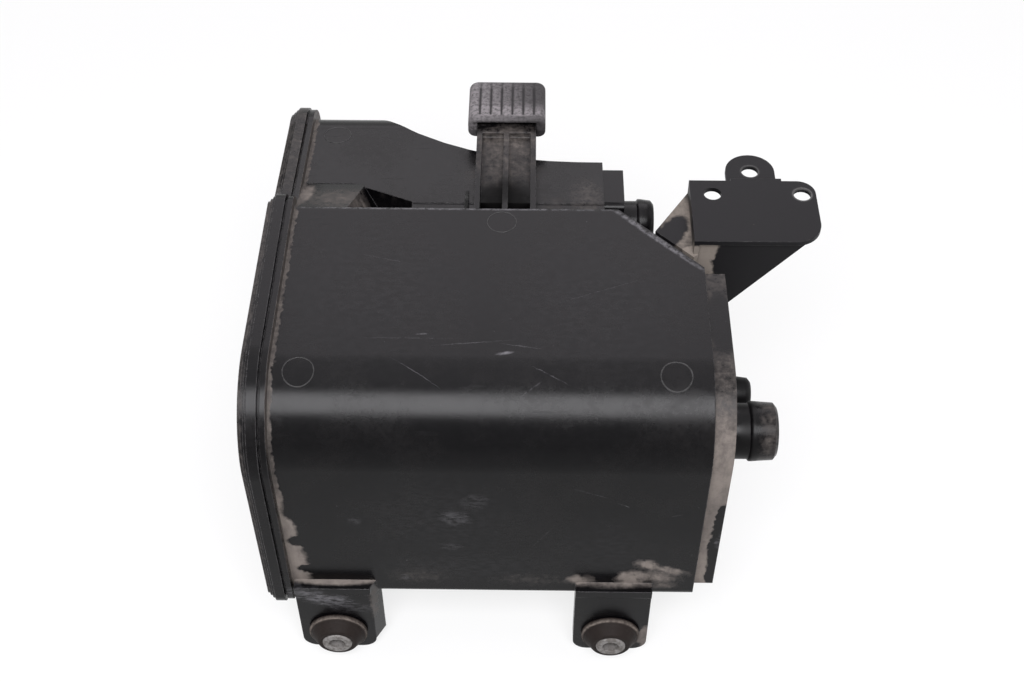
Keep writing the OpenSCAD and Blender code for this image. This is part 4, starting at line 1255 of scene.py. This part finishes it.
@dataclass
class Cushion:
    """Rubber boot on the tongue: a grooved, rounded sleeve with a plain lip, closed at its nose."""

    x: float = 84.3
    start_y: float = 159.4
    length: float = 26.8
    half_w: float = 16.1
    half_h: float = 4.65
    middle_z: float = -4.55
    corner_r: float = 4.0
    nose_r: float = 3.4
    edge_r: float = 3.0
    lip: float = 3.0
    lip_r: float = 0.8
    ease_in: float = 1.2
    ease_out: float = 3.0
    grooves: int = 6
    groove_pitch: float = 4.5
    groove_w: float = 0.5
    groove_depth: float = 0.5
    slot_half_w: float = 12.3
    slot_half_h: float = 2.95
    slot_end: float = 183.9
    slot_edge: float = 0.4
    slot_flare: float = 0.3
    closed: float = 0.001
    points_round: int = 480
    lip_steps: int = 5
    run_steps: int = 44
    nose_steps: int = 22

    def section(self, half_w: np.ndarray, half_h: np.ndarray, edge: np.ndarray) -> np.ndarray:
        """Rounded rectangles in X-Z, all with the same number of evenly spread points.

        A point at share s of the way round starts from the square outline max(|u|, |v|) = 1 and is pulled
        onto the corner's arc where it lies within the edge radius of a corner.

        Args:
            half_w: half widths, one for each station.
            half_h: half heights.
            edge: corner radii.

        Returns:
            Stations by points by 2.
        """
        quarter = self.points_round // 4
        share = np.linspace(-1, 1, quarter, endpoint=False)
        one = np.ones(quarter)
        u = np.concatenate([share, one, -share, -one])[None, :] * half_w[:, None]
        v = np.concatenate([one, -share, -one, share])[None, :] * half_h[:, None]
        inner_u, inner_v = (half_w - edge)[:, None], (half_h - edge)[:, None]
        over_u, over_v = np.abs(u) - inner_u, np.abs(v) - inner_v
        both = (over_u > 0) & (over_v > 0)
        pull = np.where(both, edge[:, None] / np.maximum(np.hypot(over_u, over_v), 1e-9), 1.0)
        u = np.where(both, np.sign(u) * (inner_u + over_u * pull), u)
        v = np.where(both, np.sign(v) * (inner_v + over_v * pull), v)
        return np.stack([u, v], -1)

    def stations(self) -> Tuple[np.ndarray, np.ndarray, np.ndarray, np.ndarray]:
        """Stations along the boot, from the end of its slot, round its lip and on to its nose.

        Over the nose the half height is h - r + sqrt(r^2 - (y - y_r)^2), and the half width follows its own
        corner radius in the same way.

        Returns:
            Depth, half width, half height and corner radius of each station.
        """
        end = self.start_y + self.length
        slot_y = np.array([self.slot_end, self.slot_end, self.slot_end - 8, self.start_y + 0.5, self.start_y])
        slot_w, slot_h = np.full(len(slot_y), self.slot_half_w), np.full(len(slot_y), self.slot_half_h)
        slot_w[-1] += self.slot_flare
        slot_h[-1] += self.slot_flare
        slot_h[0] = self.closed
        lip = np.linspace(0, np.pi / 2, self.lip_steps)[::-1]
        lip_y = self.start_y + self.lip_r * (1 - np.sin(lip))
        run_y = np.linspace(self.start_y + 1.0, end - self.corner_r, self.run_steps)
        nose_y = end - self.corner_r + self.corner_r * np.sin(np.linspace(0, np.pi / 2, self.nose_steps))
        y = np.concatenate([lip_y, run_y, nose_y])

        def narrowed(half: float, radius: float) -> np.ndarray:
            """Half size along the boot, rounded off over the nose and at the lip.

            Args:
                half: half size between them.
                radius: radius of the nose.

            Returns:
                The half size at each station.
            """
            past = np.clip(y - (end - radius), 0, None)
            size = half - radius + np.sqrt(np.maximum(radius ** 2 - past ** 2, 0))
            size[:self.lip_steps] -= self.lip_r * (1 - np.cos(lip))
            return size

        half_w, half_h = narrowed(self.half_w, self.corner_r), narrowed(self.half_h, self.nose_r)
        depth = np.concatenate([slot_y, y, [end]])
        width = np.concatenate([slot_w, half_w, half_w[-1:]])
        height = np.concatenate([slot_h, half_h, [self.closed]])
        edge = np.concatenate([np.full(len(slot_y), self.slot_edge), np.full(len(y) + 1, self.edge_r)])
        return depth, width, height, np.minimum(edge, height * 0.95)

    def build(self, material: Material) -> None:
        """Builds the boot with its grooves and lays dust on its ridges, with painted light and shade in the
        same number.

        Each groove takes depth exp(-((x - x_k) / w)^2) off the top and the underside, eased in after the lip
        and out before the nose. The number is higher at the left as painted light, lower at the right and in
        the grooves as painted shade, and higher on the ridges' front ends.

        Args:
            material: the rubber finish.
        """
        depth, width, height, edge = self.stations()
        u, v = np.moveaxis(self.section(width, height, edge), -1, 0)
        depth, height = depth[:, None], height[:, None]
        lip_end = self.start_y + self.lip
        lines = (np.arange(self.grooves) - (self.grooves - 1) / 2) * self.groove_pitch
        groove = bump_at(u[..., None], lines, self.groove_w).sum(-1)
        past_lip = np.clip((depth - self.start_y - self.lip) / self.ease_in, 0, 1)
        to_nose = np.clip((self.start_y + self.length - self.nose_r - depth) / self.ease_out, 0, 1)
        outside = np.arange(len(depth))[:, None] >= 2 * self.lip_steps
        eased = past_lip ** 2 * (3 - 2 * past_lip) * to_nose * outside
        flat = np.clip(np.abs(v) / np.maximum(height, TINY), 0, 1) ** 4
        cut = np.minimum(self.groove_depth * groove * eased, 0.7 * np.abs(v)) * flat
        v = np.sign(v) * (np.abs(v) - cut)
        points = np.stack([self.x + u, np.broadcast_to(depth, u.shape), self.middle_z + v], -1)
        # painted shade: the grooves keep little dust, so they show as dark lines
        dust = np.clip(1.0 - 1.1 * groove * np.maximum(eased, 0.6 * past_lip), 0, 1)
        dust = dust * np.where(v > -1.0, 1.0, 0.4) * np.where(depth < lip_end, 0.6, 1.0)
        # painted light and shade: the number rises to the left of the boot and falls to the right
        across = np.clip((u + 12.0) / 24.0, -0.35, 1)
        front = bump_at(depth, lip_end + 2.0, 4.0)
        dust = np.clip(dust * (0.85 - 0.68 * across + 0.75 * front), 0, 1)
        faces = grid_faces(len(depth), self.points_round, False, True)
        piece = new_piece("tongue_boot", points.reshape(-1, 3), faces, dust.reshape(-1), 60.0)
        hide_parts("tongue_cushion")
        finish_piece(piece, material)


@dataclass
class Bracket:
    """Folded steel bracket and its two screws."""

    # gusset, foot of the web and the edge beside the stepped end
    dusty: Tuple[Patch, ...] = (
        Patch((153.0, 108.0, -8.0), (7.0, 17.0, 4.0), 0.72, 0.4),
        Patch((161.0, 90.0, -7.0), (8.5, 4.0, 5.0), 1.0, 0.16),
        Patch((160.0, 90.0, -16.0), (6.0, 4.0, 9.0), 1.0, 0.16, (0, -12, 0)),
        Patch((166.5, 90.0, -47.0), (2.2, 4.0, 5.0), 0.5, 0.5),
    )
    clean: Tuple[Patch, ...] = (
        Patch((150.8, 102.0, -7.0), (4.4, 8.2, 4.0), 0.95, 0.3, (0, 0, -24)),
        Patch((145.0, 95.0, -7.0), (5.0, 6.0, 4.0), 0.7, 0.4),
        Patch((171.0, 90.0, -12.0), (4.5, 4.0, 9.0), 1.0, 0.2, (0, -14, 0)),
    )
    # rims of the right shelf hole and of the ear's hole
    rubbed: Tuple[Patch, ...] = (
        Patch((201.4, 115.8, -0.2), (4.1, 4.1, 1.0), 0.14, 0.1),
        Patch((183.9, 139.1, -9.0), (3.9, 3.9, 1.2), 0.1, 0.1),
    )
    fold_angle: float = 30.0
    plate_edge: float = 0.35
    screw_edge: float = 0.2

    def build(self) -> None:
        """Builds the bracket and screws from their CAD nodes."""
        paint = PaintFinish("bracket_coat", self.dusty, self.clean, self.rubbed).make()
        steel = SteelFinish("screw_steel", (0.3, 0.29, 0.28), (0.09, 0.08, 0.07), 0.45).make()
        for node, piece, slot, edge, material in (
            ("valve_bracket", "folded_bracket", "bracket_steel", self.plate_edge, paint),
            ("bracket_screws", "flange_screws", "screw_steel", self.screw_edge, steel),
        ):
            CadShell(node, piece, slot, self.fold_angle, edge).build(material)


@dataclass
class InnerStack:
    """Fillings, fleeces, plates and springs in the closed housing; their CAD nodes are shown as they are."""

    charcoal: Tuple[str, ...] = ("front_charcoal_bed", "rear_charcoal_bed")
    fleece: Tuple[str, ...] = ("front_port_fleece", "front_lid_fleece", "rear_port_fleece", "rear_lid_fleece")
    plates: Tuple[str, ...] = ("front_pressure_plate", "rear_pressure_plate")
    springs: Tuple[str, ...] = ("front_upper_spring", "front_lower_spring", "rear_spring")

    def build(self) -> None:
        """Gives each hidden node its finish."""
        finishes = (
            (self.charcoal,
             GrainFinish("charcoal_grains", (0.003, 0.003, 0.003), (0.02, 0.02, 0.02), 0.55, 0.8)),
            (self.fleece, GrainFinish("needled_fleece", (0.5, 0.48, 0.44), (0.75, 0.73, 0.69), 2.2, 0.2)),
            (self.plates, PlasticFinish("plate_plastic", (0.02, 0.02, 0.022), (0.03, 0.03, 0.032))),
            (self.springs, SteelFinish("spring_steel", (0.6, 0.59, 0.57), (0.35, 0.33, 0.31), 0.3)),
        )
        for nodes, finish in finishes:
            material = finish.make()
            for name in nodes:
                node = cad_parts[name]
                node.data.materials.clear()
                node.data.materials.append(material)
                LOG.info("%s: CAD node, %s", name, material.name)


@dataclass(frozen=True)
class Lamp:
    """Soft box: turn from the front and elevation in degrees, distance, size, radiance and colour."""

    name: str
    turn: float
    elevation: float
    distance: float
    size: Pair
    radiance: float
    colour: Colour

    def build(self, aim: Vector) -> None:
        """Places the lamp so that it faces a point; with area A and radiance L it has the power pi A L.

        Args:
            aim: the point, in the part's frame.
        """
        data = bpy.data.lights.new(self.name, "AREA")
        data.shape = "RECTANGLE"
        data.size, data.size_y = self.size[0] * MM, self.size[1] * MM
        data.energy = math.pi * data.size * data.size_y * self.radiance
        data.color = self.colour
        lamp = bpy.data.objects.new(self.name, data)
        angle, side = math.radians(self.elevation), math.radians(self.turn)
        level = math.cos(angle)
        away = Vector((level * math.sin(side), -level * math.cos(side), math.sin(angle)))
        lamp.location = aim + away * self.distance * MM
        lamp.rotation_mode = "QUATERNION"
        lamp.rotation_quaternion = (-away).to_track_quat("-Z", "Y")
        lamp.visible_camera = False
        bpy.context.scene.collection.objects.link(lamp)


@dataclass
class Studio:
    """Floor, soft lamps, world and the camera at the photograph's viewing angle."""

    floor_z: float = -144.6
    floor_size: float = 6000.0
    floor_colour: Colour = (0.66, 0.665, 0.66)
    floor_white: float = 0.75
    world_light: float = 0.1
    world_white: float = 0.88
    focal_px: float = 1500.0
    camera_at: Point = (93.48, -321.72, 402.55)
    clip: Pair = (0.01, 50.0)
    elevation: float = 48.29
    yaw: float = 0.85
    roll: float = -0.08
    aim: Point = (80.0, 70.0, -50.0)
    lamps: Tuple[Lamp, ...] = (
        Lamp("front_box", 0.0, 55.0, 1100.0, (850.0, 530.0), 15.5, (0.98, 0.97, 1.0)),
        Lamp("top_box", 0.0, 104.0, 1300.0, (900.0, 1150.0), 1.5, (0.98, 0.95, 1.0)),
        Lamp("back_box", 0.0, 140.0, 1300.0, (1100.0, 600.0), 2.5, (1.0, 0.94, 1.0)),
        Lamp("left_fill", -90.0, 24.0, 1300.0, (1000.0, 700.0), 2.2, (1.0, 0.98, 1.0)),
        Lamp("right_fill", 90.0, 24.0, 1300.0, (1000.0, 700.0), 2.2, (1.0, 0.98, 1.0)),
    )

    def camera(self) -> None:
        """Sets the camera from its fitted place, elevation, yaw and roll."""
        el, yaw, roll = (math.radians(a) for a in (self.elevation, self.yaw, self.roll))
        ahead = Vector((-math.sin(yaw) * math.cos(el), math.cos(yaw) * math.cos(el), -math.sin(el)))
        right = ahead.cross(Vector((0, 0, 1))).normalized()
        up = right.cross(ahead)
        right, up = right * math.cos(roll) + up * math.sin(roll), up * math.cos(roll) - right * math.sin(roll)
        data = bpy.data.cameras.new("camera")
        data.sensor_width = SENSOR_WIDTH
        data.lens = SENSOR_WIDTH * self.focal_px / IMAGE_WIDTH
        data.clip_start, data.clip_end = self.clip
        camera = bpy.data.objects.new("camera", data)
        turn = Matrix((right, up, -ahead)).transposed().to_4x4()
        camera.matrix_world = Matrix.Translation(to_part(self.camera_at)) @ turn
        bpy.context.scene.collection.objects.link(camera)
        bpy.context.scene.camera = camera

    def floor(self) -> None:
        """Makes the pale floor, which the camera and reflections see as nearly white, with a soft shadow."""
        edge = np.array([-self.floor_size / 2, self.floor_size / 2])
        x, y = np.meshgrid(edge, edge)
        points = np.stack([x + self.aim[0], y + self.aim[1], np.full_like(x, self.floor_z)], -1)
        piece = new_piece("floor", points.reshape(-1, 3), grid_faces(2, 2, False, False))
        material = bpy.data.materials.new("pale_floor")
        material.use_nodes = True
        nodes = Nodes(material.node_tree)
        nodes.tree.nodes.clear()
        matte = nodes.add("BsdfDiffuse", Color=self.floor_colour).outputs[0]
        glow = nodes.add("Emission", Color=WHITE).outputs[0]
        mix = nodes.add("MixShader")
        for socket, value in zip(mix.inputs, (nodes.times(nodes.seen(), self.floor_white), matte, glow)):
            nodes.put(socket, value)
        nodes.add("OutputMaterial", Surface=mix.outputs[0])
        piece.data.materials.append(material)

    def world(self) -> None:
        """Makes a world that is dim as a light, and nearly white to the camera and in reflections."""
        world = bpy.data.worlds.new("studio")
        world.use_nodes = True
        nodes = Nodes(world.node_tree)
        sky = world.node_tree.nodes["Background"]
        nodes.put(sky.inputs["Color"], WHITE)
        nodes.put(sky.inputs["Strength"], nodes.scaled(nodes.seen(), self.world_white, self.world_light))
        bpy.context.scene.world = world

    def build(self) -> None:
        """Builds the stage and sets the view transform."""
        self.camera()
        self.floor()
        for lamp in self.lamps:
            lamp.build(Vector(to_part(self.aim)))
        self.world()
        bpy.context.scene.view_settings.view_transform = "Standard"


def main() -> None:
    """Builds the sub-assemblies in order and reports each piece."""
    logging.basicConfig(level=logging.INFO, format="%(name)s %(message)s")
    Studio().build()
    Moulding().build()
    rubber = RubberFinish("mount_rubber", (0.008, 0.0052, 0.0044), (0.15, 0.128, 0.112), 0.12).make()
    steel = SteelFinish("sleeve_steel", (0.17, 0.162, 0.157), (0.095, 0.087, 0.08), 0.6, 0.3).make()
    for side, x in (("left", 18.0), ("right", 128.5)):
        FootMount(side, x).build(rubber, steel)
    Cushion().build(RubberFinish("boot_rubber", (0.01, 0.0092, 0.0098), (0.175, 0.163, 0.168), 0.2).make())
    Bracket().build()
    InnerStack().build()


if __name__ == "__main__":
    main()
